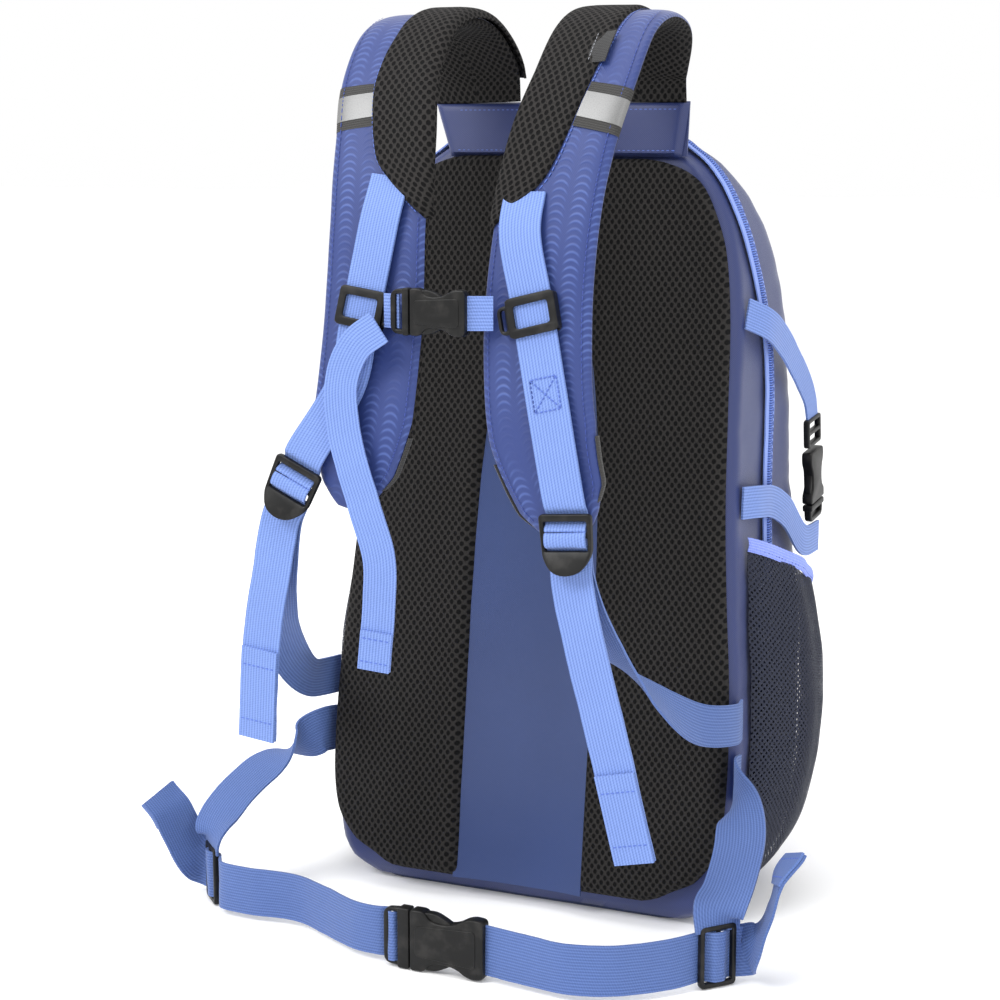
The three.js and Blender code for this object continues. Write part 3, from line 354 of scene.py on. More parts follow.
def zip_coil():
    """Nylon zip coil: small glossy turns side by side, 1.6 mm apart, with painted shade between the turns and a painted
    highlight on them.
    """
    def pattern(tree):
        _, along, _ = cloth_axes(tree)
        turn = put(tree, "ShaderNodeMath", {0: along, 1: 2 * math.pi / 1.6}, operation="MULTIPLY")
        wave = put(tree, "ShaderNodeMath", {0: turn.outputs[0]}, operation="SINE")
        shade = put(tree, "ShaderNodeMapRange", {"Value": wave.outputs[0], "From Min": -0.9, "From Max": 0.6},
                   interpolation_type="SMOOTHSTEP").outputs["Result"]
        # painted shade and highlight: dark blue between the turns, light blue on their tops
        mixed = put(tree, "ShaderNodeMix", {0: shade, 6: hex_rgba("#2f4b9c"), 7: hex_rgba("#6f90e6")},
                    data_type="RGBA")
        return mixed.outputs[2], wave.outputs[0]
    return surface("nylon_zip_coil", pattern, distance=0.0006, strength=0.9, Roughness=0.35)


def sewing_thread(name="bonded_nylon_thread", hexes="#5470c4"):
    """Bonded nylon thread: satin, twisted."""
    def pattern(tree):
        place = put(tree, "ShaderNodeTexCoord").outputs["Object"]
        twist = put(tree, "ShaderNodeTexNoise", {"Vector": place, "Scale": 1500.0})
        base = hex_rgba(hexes)
        mixed = put(tree, "ShaderNodeMix", {0: twist.outputs["Fac"], 6: [c * 0.7 for c in base[:3]] + [1], 7: base},
                    data_type="RGBA")
        return mixed.outputs[2], twist.outputs["Fac"]
    return surface(name, pattern, distance=0.0001, strength=0.5, Roughness=0.5)


def painted_zinc():
    """Die-cast zinc under black paint: smooth, satin, with a painted highlight that makes it bright in small spots."""
    return moulded_acetal("painted_zinc", "#2c2d30", 0.3)


def lining_cloth():
    return side_cloth("lining_taffeta", "#2b3350")


# ---- Curves -----------------------------------------------------------------


def lerp(a, b, f):
    return a + (b - a) * f


def ease(value, low, high):
    f = min(1.0, max(0.0, (value - low) / (high - low)))
    return f * f * (3 - 2 * f)


class Path:
    """A centripetal curve through points in millimetres, with equal parameter steps from point to point."""

    def __init__(self, points):
        self.points = [Vector(p) for p in points]

    def at(self, t):
        pts = self.points
        last = len(pts) - 1
        s = min(max(t, 0.0), 0.9999999) * last
        i = int(s)
        w = s - i
        p1, p2 = pts[i], pts[i + 1]
        p0 = pts[i - 1] if i > 0 else 2 * pts[0] - pts[1]
        p3 = pts[i + 2] if i + 2 <= last else 2 * pts[last] - pts[last - 1]
        d0, d1, d2 = (max(math.sqrt((a - b).length), 1e-4) for a, b in ((p0, p1), (p1, p2), (p2, p3)))
        t1 = ((p1 - p0) / d0 - (p2 - p0) / (d0 + d1) + (p2 - p1) / d1) * d1
        t2 = ((p2 - p1) / d1 - (p3 - p1) / (d1 + d2) + (p3 - p2) / d2) * d1
        return p1 + t1 * w + (3 * (p2 - p1) - 2 * t1 - t2) * w * w + (2 * (p1 - p2) + t1 + t2) * w ** 3

    def tangent(self, t):
        return (self.at(min(1, t + 1e-3)) - self.at(max(0, t - 1e-3))).normalized()

    def sides(self, t, across):
        """Unit directions across and out of a band along the path."""
        tangent = self.tangent(t)
        wide = (across - tangent * across.dot(tangent)).normalized()
        return wide, tangent.cross(wide).normalized()


def stops(values):
    def read(t):
        s = min(t * (len(values) - 1), len(values) - 1.000001)
        return lerp(values[int(s)], values[int(s) + 1], s - int(s))
    return read


def table(rows):
    """Smooth reading of a table of (position, value)."""
    def read(x):
        if x <= rows[0][0]:
            return rows[0][1]
        if x >= rows[-1][0]:
            return rows[-1][1]
        i = next(n for n in range(len(rows) - 1) if rows[n + 1][0] >= x)
        (x0, y0), (x1, y1) = rows[i], rows[i + 1]

        def rate(n):
            if n <= 0 or n >= len(rows) - 1:
                return (y1 - y0) / (x1 - x0)
            return (rows[n + 1][1] - rows[n - 1][1]) / (rows[n + 1][0] - rows[n - 1][0])
        span = x1 - x0
        f = (x - x0) / span
        m0, m1 = rate(i) * span, rate(i + 1) * span
        return ((2 * f ** 3 - 3 * f * f + 1) * y0 + (f ** 3 - 2 * f * f + f) * m0
                + (3 * f * f - 2 * f ** 3) * y1 + (f ** 3 - f * f) * m1)
    return read


X, Y, Z = Vector((1, 0, 0)), Vector((0, 1, 0)), Vector((0, 0, 1))


def ripple(point, scale, seed=0.0):
    """Smooth noise from -1 to 1 at a point in millimetres."""
    return noise.noise(Vector(point) / scale + Vector((seed, seed * 1.7, -seed)))


# ---- Making pieces ----------------------------------------------------------


def alone(obj):
    bpy.ops.object.select_all(action="DESELECT")
    obj.select_set(True)
    bpy.context.view_layer.objects.active = obj


def set_up(obj, body, stands_for=(), blend=None):
    """Gives a finished piece its body and the nodes it stands for."""
    if stands_for:
        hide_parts(*stands_for)
    if blend:
        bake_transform(obj)
    else:
        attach(obj, body)
    return obj


def panel(name, nu, nv, at, materials, pick=None, thick=0.0, offset=-1.0, closed=False, inside=None, flat=False):
    """A grid primitive laid over a surface. at(u, v) gives millimetres; its own map, named cloth, holds
    millimetres across and along the cloth, or x and z where flat. thick walls it, closed joins its first and last
    columns."""
    bpy.ops.object.select_all(action="DESELECT")
    bpy.ops.mesh.primitive_grid_add(x_subdivisions=nu, y_subdivisions=nv, size=2, calc_uvs=True)
    obj = bpy.context.object
    obj.name = name
    mesh = obj.data
    mesh.name = name
    grid = {}
    keys = []
    for vertex in mesh.vertices:
        key = (round((vertex.co.x + 1) / 2 * nu), round((vertex.co.y + 1) / 2 * nv))
        keys.append(key)
        if key not in grid:
            grid[key] = Vector(at(key[0] / nu, key[1] / nv))
    for vertex, key in zip(mesh.vertices, keys):
        vertex.co = grid[key] * MM
    middle = nu // 2
    along = [0.0]
    for j in range(1, nv + 1):
        along.append(along[-1] + (grid[(middle, j)] - grid[(middle, j - 1)]).length)
    across = {}
    for j in range(nv + 1):
        run = [0.0]
        for i in range(1, nu + 1):
            run.append(run[-1] + (grid[(i, j)] - grid[(i - 1, j)]).length)
        for i in range(nu + 1):
            across[(i, j)] = run[i] - run[middle]
    layer = mesh.uv_layers[0]
    layer.name = "cloth"
    for loop in mesh.loops:
        key = keys[loop.vertex_index]
        layer.data[loop.index].uv = (grid[key].x, grid[key].z) if flat else (across[key], along[key[1]])
    for material in materials:
        mesh.materials.append(material)
    if pick:
        for face in mesh.polygons:
            spots = [keys[v] for v in face.vertices]
            face.material_index = pick(sum(s[0] for s in spots) / len(spots) / nu,
                                       sum(s[1] for s in spots) / len(spots) / nv)
    alone(obj)
    if closed:
        bpy.ops.object.mode_set(mode="EDIT")
        bpy.ops.mesh.select_all(action="SELECT")
        bpy.ops.mesh.remove_doubles(threshold=0.00001)
        bpy.ops.mesh.normals_make_consistent(inside=False)
        bpy.ops.object.mode_set(mode="OBJECT")
    if thick:
        if inside:
            mesh.materials.append(inside)
        wall = obj.modifiers.new("wall", "SOLIDIFY")
        wall.thickness = thick * MM
        wall.offset = offset
        wall.material_offset = 1 if inside else 0
        bpy.ops.object.modifier_apply(modifier="wall")
    bpy.ops.object.shade_smooth_by_angle(angle=math.radians(50))
    return obj


def ribbon(name, path, width, across, steps=60, material=None, hem=0, wave=0.25, seed=1.0, lanes=6):
    """Webbing along a path. across(t) is its width direction; hem folds that many millimetres of its end back."""
    length = sum((path.at((i + 1) / 60) - path.at(i / 60)).length for i in range(60))
    fold = max(0.0, 1 - hem / length) if hem else 2.0
    thick = sizes().webbing_thick

    def at(u, v):
        wide, out = path.sides(v, across(v))
        side = (u - 0.5) * width
        p = path.at(v) + wide * side
        lift = wave * ripple(p, 22, seed) + 0.35 * wave * ripple(p, 7, seed)
        return p + out * lift
    obj = panel(name, lanes, steps, at, [material or webbing_cloth()], thick=thick, offset=0.0)
    if not hem:
        return obj

    def over(u, v):
        t = lerp(fold, 1.0, v)
        wide, out = path.sides(t, across(t))
        return path.at(t) + wide * (u - 0.5) * (width - 0.6) + out * (thick + 0.15) + path.tangent(t) * 0.4 * v
    flap = panel(name + "_hem", lanes, 8, over, [material or webbing_cloth()], thick=thick, offset=0.0)
    for row in (0.2, 0.8):
        t = lerp(fold, 1.0, row)
        wide, out = path.sides(t, across(t))
        a = path.at(t) + wide * (width * 0.44) + out * (1.5 * thick + 0.2)
        b = path.at(t) - wide * (width * 0.44) + out * (1.5 * thick + 0.2)
        flap = join([flap, stitched(name + f"_sewn_{row}", [a, b], out)])
    return join([obj, flap])


def join(objects):
    """Joins pieces into the first one."""
    bpy.ops.object.select_all(action="DESELECT")
    for obj in objects:
        obj.select_set(True)
    bpy.context.view_layer.objects.active = objects[0]
    bpy.ops.object.join()
    return objects[0]


def stitched(name, points, out, pitch=None, material=None, thick=0.42):
    """A line of stitches through points, each a short spindle of thread that stands a little proud."""
    pitch = pitch or sizes().stitch_pitch
    bm = bmesh.new()
    for a, b in zip(points, points[1:]):
        a, b = Vector(a), Vector(b)
        span = (b - a).length
        count = max(1, round(span / pitch))
        along = (b - a).normalized()
        normal = out(0.5 * (a + b)) if callable(out) else out
        wide = along.cross(normal).normalized()
        for n in range(count):
            mid = a.lerp(b, (n + 0.5) / count)
            half = 0.36 * span / count
            rings = []
            for f, r in ((-1, 0.35), (-0.55, 1), (0.55, 1), (1, 0.35)):
                rings.append([bm.verts.new((mid + along * half * f + wide * c * r * thick
                                            + normal * (s * r * thick * 0.8 - 0.12 * abs(f))) * MM)
                              for c, s in ((1, 0), (0.4, 1), (-0.4, 1), (-1, 0), (0, -0.8))])
            for r1, r2 in zip(rings, rings[1:]):
                for k in range(5):
                    bm.faces.new((r1[k], r1[(k + 1) % 5], r2[(k + 1) % 5], r2[k]))
            bm.faces.new(rings[0][::-1])
            bm.faces.new(rings[-1])
    bmesh.ops.recalc_face_normals(bm, faces=bm.faces)
    mesh = bpy.data.meshes.new(name)
    bm.to_mesh(mesh)
    bm.free()
    obj = bpy.data.objects.new(name, mesh)
    bpy.context.collection.objects.link(obj)
    mesh.uv_layers.new(name="cloth")
    mesh.materials.append(material or sewing_thread())
    alone(obj)
    bpy.ops.object.shade_smooth()
    return obj


def moulded(node, radius=0.5, material=None):
    """A copy of a CAD moulding with its edges rounded."""
    source = NODES[node]
    mesh = source.data.copy()
    obj = bpy.data.objects.new(node + "_moulded", mesh)
    bpy.context.collection.objects.link(obj)
    mesh.materials.clear()
    mesh.materials.append(material or moulded_acetal())
    alone(obj)
    bpy.ops.object.mode_set(mode="EDIT")
    bpy.ops.mesh.select_all(action="SELECT")
    bpy.ops.mesh.remove_doubles(threshold=0.00002)
    bpy.ops.mesh.dissolve_limited(angle_limit=math.radians(3))
    bpy.ops.object.mode_set(mode="OBJECT")
    bevel = obj.modifiers.new("edge", "BEVEL")
    bevel.width = radius * MM
    bevel.segments = 3
    bevel.limit_method = "ANGLE"
    bevel.angle_limit = math.radians(32)
    bpy.ops.object.modifier_apply(modifier="edge")
    bpy.ops.object.shade_smooth_by_angle(angle=math.radians(40))
    return set_up(obj, BODY_OF[node], [node])


def soft_loop(corners):
    """A closed outline whose corners (x, y, radius) are rounded."""
    points = []
    for i, (x, y, radius) in enumerate(corners):
        here = Vector((x, y))
        before = Vector(corners[i - 1][:2]) - here
        after = Vector(corners[(i + 1) % len(corners)][:2]) - here
        a = here + before.normalized() * min(radius, before.length * 0.49)
        b = here + after.normalized() * min(radius, after.length * 0.49)
        for n in range(6):
            f = n / 5
            points.append((1 - f) ** 2 * a + 2 * f * (1 - f) * here + f * f * b)
    return points


def mirrored(half):
    """Both sides of an outline given on one side of its axis."""
    return soft_loop(half + [(x, -y, radius) for x, y, radius in half[::-1]])


def bar(x0, x1, half, radius=0.8):
    return mirrored([(x0, half, radius), (x1, half, radius)])


def placed(origin, along, across):
    """From millimetres on a flat drawing to its place: along and across it, then out of it."""
    out = along.cross(across)
    return lambda x, y, z: origin + along * x + across * y + out * z


def plate(name, loops, z0, z1, edge, place, material=None):
    """A moulded plate between two heights, from its rim and its openings, with rounded edges."""
    data = bpy.data.curves.new(name, "CURVE")
    data.dimensions = "2D"
    data.fill_mode = "BOTH"
    for number, loop in enumerate(loops):
        area = sum(a.x * b.y - b.x * a.y for a, b in zip(loop, loop[1:] + loop[:1]))
        if (area > 0) != (number == 0):
            loop = loop[::-1]
        spline = data.splines.new("POLY")
        spline.points.add(len(loop) - 1)
        for point, spot in zip(spline.points, loop):
            point.co = (spot.x, spot.y, 0, 1)
        spline.use_cyclic_u = True
    data.extrude = (z1 - z0) / 2 - edge
    data.bevel_depth = edge
    data.bevel_resolution = 2
    data.offset = -edge
    flat = bpy.data.objects.new(name, data)
    bpy.context.collection.objects.link(flat)
    alone(flat)
    bpy.ops.object.convert(target="MESH")
    obj = bpy.context.object
    for vertex in obj.data.vertices:
        vertex.co = place(vertex.co.x, vertex.co.y, vertex.co.z + (z0 + z1) / 2) * MM
    obj.data.materials.clear()
    obj.data.materials.append(material or moulded_acetal())
    bpy.ops.object.mode_set(mode="EDIT")
    bpy.ops.mesh.select_all(action="SELECT")
    bpy.ops.mesh.remove_doubles(threshold=0.00001)
    bpy.ops.mesh.normals_make_consistent(inside=False)
    bpy.ops.object.mode_set(mode="OBJECT")
    bpy.ops.object.shade_smooth_by_angle(angle=math.radians(40))
    return obj


def moulding(node, plates):
    """Joins plates into the piece that stands for a CAD moulding."""
    return set_up(join(plates), BODY_OF[node], [node])


def socket_length(web):
    return 1.3 * web + 9


def plug_length(web):
    return 0.55 * web + 1.5


def glide_length(web):
    return 0.5 * web + 9


def build_side_release(prefix, suffix, web, place):
    """Waisted socket with two oval cut-outs, and a plug whose prongs show in them."""
    long, reach = socket_length(web), plug_length(web)
    half, thick = web / 2 + 3.5, 0.2 * web + 4
    waist = 0.66 * half
    rim = mirrored([(0.4, half, 2), (0.19 * long, half, 2.5), (0.29 * long, waist, 0.16 * long),
                    (0.6 * long, waist, 0.2 * long), (0.8 * long, half, 0.12 * long), (long, 0.95 * half, 3)])
    spine = soft_loop([(0.08 * long, 0.5 * half, 3), (0.9 * long, 0.62 * half, 3), (0.9 * long, -0.62 * half, 3),
                       (0.08 * long, -0.5 * half, 3)])
    name = f"{prefix}_socket{suffix}"
    moulding(name, [plate(name + "_body", [rim], -thick / 2 + 0.5, thick / 2 - 0.5, 0.9, place),
                    plate(name + "_crown", [spine], 0, thick / 2, 0.45, place)])
    prongs = []
    for sign in (1, -1):
        loop = soft_loop([(0.1 * long, sign * 0.5 * half, 1), (0.17 * long, sign * (half - 1), 3),
                          (0.34 * long, sign * (half - 0.6), 4), (0.56 * long, sign * (waist + 0.5), 4),
                          (0.6 * long, sign * 0.5 * half, 1)])
        prongs.append(plate(f"{prefix}_prong{suffix}_{sign}", [loop], -0.3 * thick, 0.3 * thick, 0.8, place))
    name = f"{prefix}_plug{suffix}"
    frame_rim = mirrored([(-reach, 0.92 * half, 5), (-0.4, half, 1.5)])
    slot = bar(-reach + 3.4, -reach + 3.4 + 0.22 * web, web / 2)
    root = bar(-reach + 3.4 + 0.22 * web, -0.4, half, 1.5)
    moulding(name, [plate(name + "_frame", [frame_rim, slot], -2.4, 2.4, 1, place),
                    plate(name + "_root", [root], -0.42 * thick, 0.42 * thick, 0.9, place)] + prongs)


def build_glide(node, web, place):
    """Flat frame with a middle bar."""
    length, half = glide_length(web), web / 2 + 3.5
    rim = bar(-length / 2, length / 2, half, 3)
    reach = 1.4 + length / 2 - 4.2
    moulding(node, [plate(node + "_frame", [rim, bar(1.4, reach, web / 2 + 0.5), bar(-reach, -1.4, web / 2 + 0.5)],
                          -2, 2, 0.8, place)])


def build_ladder_lock(tag, ladder, down, across):
    """Ladder lock: top bar, two slots, and a half-round lip that turns outwards."""
    node = f"ladder_lock_{tag}"
    out = Vector((0, -1, 0))

    def place(x, y, z):
        turn = max(0.0, x - 18)
        return ladder + down * x + across * y + out * (z + 0.3 * turn + 0.004 * turn * turn)
    rim = mirrored([(-2.2, 16, 3), (18.5, 15.2, 3), (23, 14, 4), (29.5, 9.5, 5), (32, 3.5, 4)])
    slots = [bar(2, 8, 13), bar(11.4, 18.6, 13)]
    moulding(node, [plate(node + "_frame", [rim] + slots, -2, 2, 0.9, place)])


def build_sternum_slider(tag, side, top, low):
    """Slider on the strap's webbing, with a window and a ring for the sternum webbing."""
    node = f"sternum_slider_{tag}"
    up = (top - low).normalized()
    deep = 3.2
    place = placed(top.lerp(low, (STERNUM.z - top.z) / (low.z - top.z)), (X - up * up.x).normalized(), up)
    rim = soft_loop([(-15, 11.5, 3.5), (15, 11.5, 3.5), (15, -11.5, 3.5), (-15, -11.5, 3.5)])
    window = soft_loop([(-10.5, 6.5, 2), (10.5, 6.5, 2), (10.5, -6.5, 2), (-10.5, -6.5, 2)])
    near, far = -side * 13.0, -side * 21.3
    ring = soft_loop([(near, 8.5, 2), (far, 8, 4.5), (far, -8, 4.5), (near, -8.5, 2)])
    eye = soft_loop([(-side * 16.4, 6, 1.5), (-side * 19.2, 6, 2), (-side * 19.2, -6, 2), (-side * 16.4, -6, 1.5)])
    posts = [plate(f"{node}_post_{n}", [soft_loop([(n * 13.4, 10.5, 1), (n * 15, 10.5, 1), (n * 15, -10.5, 1),
                                                   (n * 13.4, -10.5, 1)])], -deep + 0.4, deep - 0.4, 0.4, place)
             for n in (-1, 1)]
    moulding(node, [plate(node + "_front", [rim, window], deep - 1.6, deep, 0.6, place),
                    plate(node + "_back", [rim], -deep, -deep + 1.2, 0.4, place),
                    plate(node + "_ring", [ring, eye], -1.6, 1.6, 0.9, place)] + posts)


# ---- Shape of the bag -------------------------------------------------------

BACK_FOOT, LEAN = -82.5, 0.125
LEAN_ANGLE = math.atan(LEAN)
BAG_FLOOR, BAG_TOP, LID_HEIGHT = 2.95, 480.0, 205.0
HEIGHTS = (2.95, 14, 40, 90, 150, 205, 260, 320, 375, 415, 445, 466, 480)
HALF = table(list(zip(HEIGHTS, (113, 126, 136, 140, 138, 133, 129, 127, 125, 120, 110, 95, 76))))
INSET = table(list(zip(HEIGHTS, (10, 2, 0, 0, 0, 0, 0, 0, 0, 0, 0, 1, 4))))
DEPTH = table(list(zip(HEIGHTS, (140, 154, 163, 168, 170, 168, 161, 148, 128, 106, 82, 62, 44))))
CORNER = table(list(zip(HEIGHTS, (26, 36, 46, 52, 55, 55, 54, 52, 48, 42, 34, 24, 14))))


def back_at(z):
    return BACK_FOOT + LEAN * z


def zip_at(z):
    return back_at(z) + lerp(60, 18, ease(z, 320, 455))


def wall(z, run):
    """Point at a distance run round the bag from the middle of the back, and the way out there."""
    side = 1 if run >= 0 else -1
    run = abs(run)
    if run > run_to_front(z):
        side, run = -side, 2 * run_to_front(z) - run
    half, r2 = HALF(z), CORNER(z)
    back, front = back_at(z) + INSET(z), back_at(z) + DEPTH(z)
    r1 = min(10.0, r2)
    flat = half - r1
    if run <= flat:
        return Vector((side * run, back, z)), Vector((0, -1, 0))
    run -= flat
    if run <= math.pi / 2 * r1:
        a = run / r1
        return (Vector((side * (flat + r1 * math.sin(a)), back + r1 - r1 * math.cos(a), z)),
                Vector((side * math.sin(a), -math.cos(a), 0)))
    run -= math.pi / 2 * r1
    straight = front - r2 - back - r1
    if run <= straight:
        return Vector((side * half, back + r1 + run, z)), Vector((side, 0, 0))
    run -= straight
    if run <= math.pi / 2 * r2:
        a = run / r2
        return (Vector((side * (half - r2 + r2 * math.cos(a)), front - r2 + r2 * math.sin(a), z)),
                Vector((side * math.cos(a), math.sin(a), 0)))
    run -= math.pi / 2 * r2
    return Vector((side * (half - r2 - run), front, z)), Vector((0, 1, 0))


def run_to_zip(z):
    r1 = min(10.0, CORNER(z))
    return HALF(z) - r1 + math.pi / 2 * r1 + zip_at(z) - back_at(z) - INSET(z) - r1


def run_to_front(z):
    half, r2 = HALF(z), CORNER(z)
    r1 = min(10.0, r2)
    return (half - r1) + math.pi / 2 * r1 + (DEPTH(z) - INSET(z) - r2 - r1) + math.pi / 2 * r2 + (half - r2)


def front_at(x, z):
    half, radius = HALF(z), CORNER(z)
    over = max(0.0, abs(x) - (half - radius))
    return back_at(z) + DEPTH(z) - radius + math.sqrt(max(0.0, radius * radius - over * over))


def creases(p, out, amount=1.0):
    """Sag and creases of half-filled cloth."""
    soft = 1.6 * ripple(p, 70, 3.0) + 0.9 * ripple((p.x, p.y, p.z * 2.2), 34, 5.0)
    sharp = abs(ripple((p.x * 0.6, p.y * 0.6, p.z * 1.6), 26, 9.0))
    return out * amount * (soft - 1.1 * max(0.0, 0.35 - sharp))


def skin(name, z0, z1, low_run, high_run, body, node, rows=90, columns=96, top=False, floor=False):
    """Part of the bag's wall, between two distances round it at each height."""
    extra = 6
    total = rows + (extra if top else 0) + (extra if floor else 0)
    start = extra if floor else 0

    def at(u, v):
        j = v * total
        if floor and j < start:
            z, pull = z0, 1 - j / start
        elif top and j > start + rows:
            z, pull = z1, (j - start - rows) / extra
        else:
            z, pull = lerp(z0, z1, (j - start) / rows), 0.0
        p, out = wall(z, lerp(low_run(z), high_run(z), u))
        edge = min(1.0, 8 * min(u, 1 - u)) * min(1.0, (z1 - z) / 25)
        p = p + creases(p, out, edge)
        if pull and top and z == z1:
            p = Vector((p.x, lerp(p.y, zip_at(z), pull * 0.94), z + 1.2 * math.sin(math.pi * min(1, pull))))
        elif pull:
            p = Vector((p.x * (1 - 0.16 * pull), lerp(p.y, -8, 0.16 * pull), z - 0.2 * pull))
        return p
    obj = panel(name, columns, total, at, [side_cloth()], thick=2.4, offset=-1.0, inside=lining_cloth())
    return set_up(obj, body, [node] if node else [])


def build_shell():
    rear = skin("rear_cloth", BAG_FLOOR, BAG_TOP, lambda z: -run_to_zip(z), run_to_zip, "bag", "rear_shell",
                columns=110, top=True, floor=True)
    flip_if_inward(rear)
    low = skin("lower_front_cloth", BAG_FLOOR, LID_HEIGHT, run_to_zip, lambda z: 2 * run_to_front(z) - run_to_zip(z),
               "bag", None, rows=44, floor=True)
    flip_if_inward(low)
    lid = skin("lid_cloth", LID_HEIGHT + 0.4, BAG_TOP, run_to_zip, lambda z: 2 * run_to_front(z) - run_to_zip(z),
               "front_panel", "front_shell", rows=64, top=True)
    flip_if_inward(lid)


def flip_if_inward(obj):
    """Turns a piece's faces round if its volume comes out negative."""
    bm = bmesh.new()
    bm.from_mesh(obj.data)
    if bm.calc_volume(signed=True) < 0:
        bmesh.ops.reverse_faces(bm, faces=bm.faces)
        bm.to_mesh(obj.data)
    bm.free()


# ---- Back panel -------------------------------------------------------------

OUTLINE = table([(14, 84), (17, 94), (22, 103), (30, 118), (50, 131), (90, 135), (150, 133), (205, 128), (260, 124),
                 (320, 122), (375, 120), (415, 115), (440, 106), (455, 97), (463, 86), (468, 72), (470, 60)])
CHANNEL_HALF, CHANNEL_TOP, PAD_FOOT, PAD_TOP = 43.0, 405.0, 14.0, 470.0


def channel_half(z):
    return CHANNEL_HALF * math.sqrt(max(0.0, 1 - (z / CHANNEL_TOP) ** 5))


def on_back(x, z, lift):
    return Vector((x, back_at(z) - lift * math.cos(LEAN_ANGLE), z + lift * math.sin(LEAN_ANGLE)))


def pad_height(x, z):
    rim = min(OUTLINE(z) - abs(x), (z - PAD_FOOT) * 1.3, (PAD_TOP - z) * 1.6)
    round_edge = math.sqrt(max(0.0, 1 - (1 - min(1.0, rim / 11)) ** 2))
    inner = abs(x) - channel_half(z)
    if z >= CHANNEL_TOP:
        inner = math.hypot(x, z - CHANNEL_TOP)
    step = math.sqrt(max(0.0, 1 - (1 - min(1.0, max(0.0, inner) / 7)) ** 2))
    crown = sizes().pad_crown * ease(min(rim, inner), 0, 46)
    dents = 0.5 * ripple((x, 0, z), 60, 2.0)
    return max(0.4, round_edge * (1.2 + 7.6 * step + (crown + dents) * step))


def build_back():
    def pad(side):
        def at(u, v):
            z = lerp(PAD_FOOT, PAD_TOP, 0.75 * v + 0.125 * (1 - math.cos(math.pi * v)))
            f = u - 0.08 * math.sin(2 * math.pi * u)
            x = side * lerp(channel_half(z), OUTLINE(z), f)
            return on_back(x, z, pad_height(x, z))
        return panel(f"back_pad_{'left' if side > 0 else 'right'}", 60, 190, at, [air_mesh()], thick=2.0,
                     flat=True)
    pads = [pad(1), pad(-1)]
    for obj in pads:
        flip_if_inward(obj)
    mesh_pad = join(pads)
    set_up(mesh_pad, "bag", ["back_padding"])

    def channel(u, v):
        z = lerp(PAD_FOOT - 2, CHANNEL_TOP - 3, v)
        half = channel_half(z) + 1.5
        x = (2 * u - 1) * half
        hollow = 2.2 + 3.6 * (abs(2 * u - 1) ** 3) + 0.35 * ripple((x, 0, z), 30, 4.0)
        return on_back(x, z, hollow)
    strip = panel("back_channel_cloth", 24, 130, channel, [side_cloth("channel_polyester", "#203566")], thick=1.2)
    flip_if_inward(strip)
    set_up(strip, "bag", ["back_channel"])

    rim = []
    for side in (1, -1):
        spots = [on_back(side * (channel_half(z) + 0.4), z, 3.0) for z in [16 + 5 * n for n in range(76)]]
        rim.append(stitched(f"channel_seam_{side}", spots, Vector((side * -0.4, -1, 0.1)),
                            material=sewing_thread("black_thread", "#1d1d20")))
    set_up(join(rim), "bag")

    YOKE_CLOTH_TOP = 504.9  # just under the straps' feet

    def yoke_at(u, v):
        z = lerp(471.0, YOKE_CLOTH_TOP, v)
        half = lerp(83, 86.5, v)
        x = lerp(-lerp(74, 86.5, v), half, u)
        rim_gap = max(0.0, min(half - x, x + lerp(74, 86.5, v), (z - 471) * 2, (YOKE_CLOTH_TOP - z) * 1.2))
        lift = 1.0 + 4.4 * math.sqrt(max(0.0, 1 - (1 - min(1, rim_gap / 5)) ** 2)) + 0.35 * ripple((x, 0, z), 26, 6)
        return on_back(x, z, lift)
    yoke = panel("yoke_cloth", 60, 16, yoke_at, [side_cloth()], thick=2.0)
    flip_if_inward(yoke)
    behind = panel("yoke_behind", 40, 8, lambda u, v: on_back(lerp(-lerp(74, 86, v), 86, u), lerp(471.5, YOKE_CLOTH_TOP, v),
                                                             0.4), [side_cloth()], thick=1.4)
    edges = []
    for z in (474.5, 499.5):
        edges.append(stitched(f"yoke_seam_{z}", [on_back(x, z, 5.2) for x in (-68, 0, 80)], Vector((0, -1, 0))))
    set_up(join([yoke, behind] + edges), "bag", ["yoke"])

    def base_at(u, v):
        x = (2 * u - 1) * 107
        y = lerp(-68, 56, v)
        corner = max(0.0, abs(x) - 85) / 22
        y = lerp(y, -6, 0.14 * corner ** 3)
        return Vector((x, y, 2.55))
    base = panel("base_cloth", 40, 24, base_at, [side_cloth("base_polyester", "#232f50")], thick=2.5)
    set_up(base, "bag", ["base_sheet"])

    sleeve = panel("inner_sleeve_cloth", 20, 30, lambda u, v: on_back((2 * u - 1) * 104, lerp(24, 328, v), -9.0
                                                                     + 0.8 * ripple((u * 200, 0, v * 300), 50, 8)),
                   [lining_cloth()], thick=1.2)
    set_up(sleeve, "bag", ["inner_sleeve"])


# ---- Shoulder straps --------------------------------------------------------

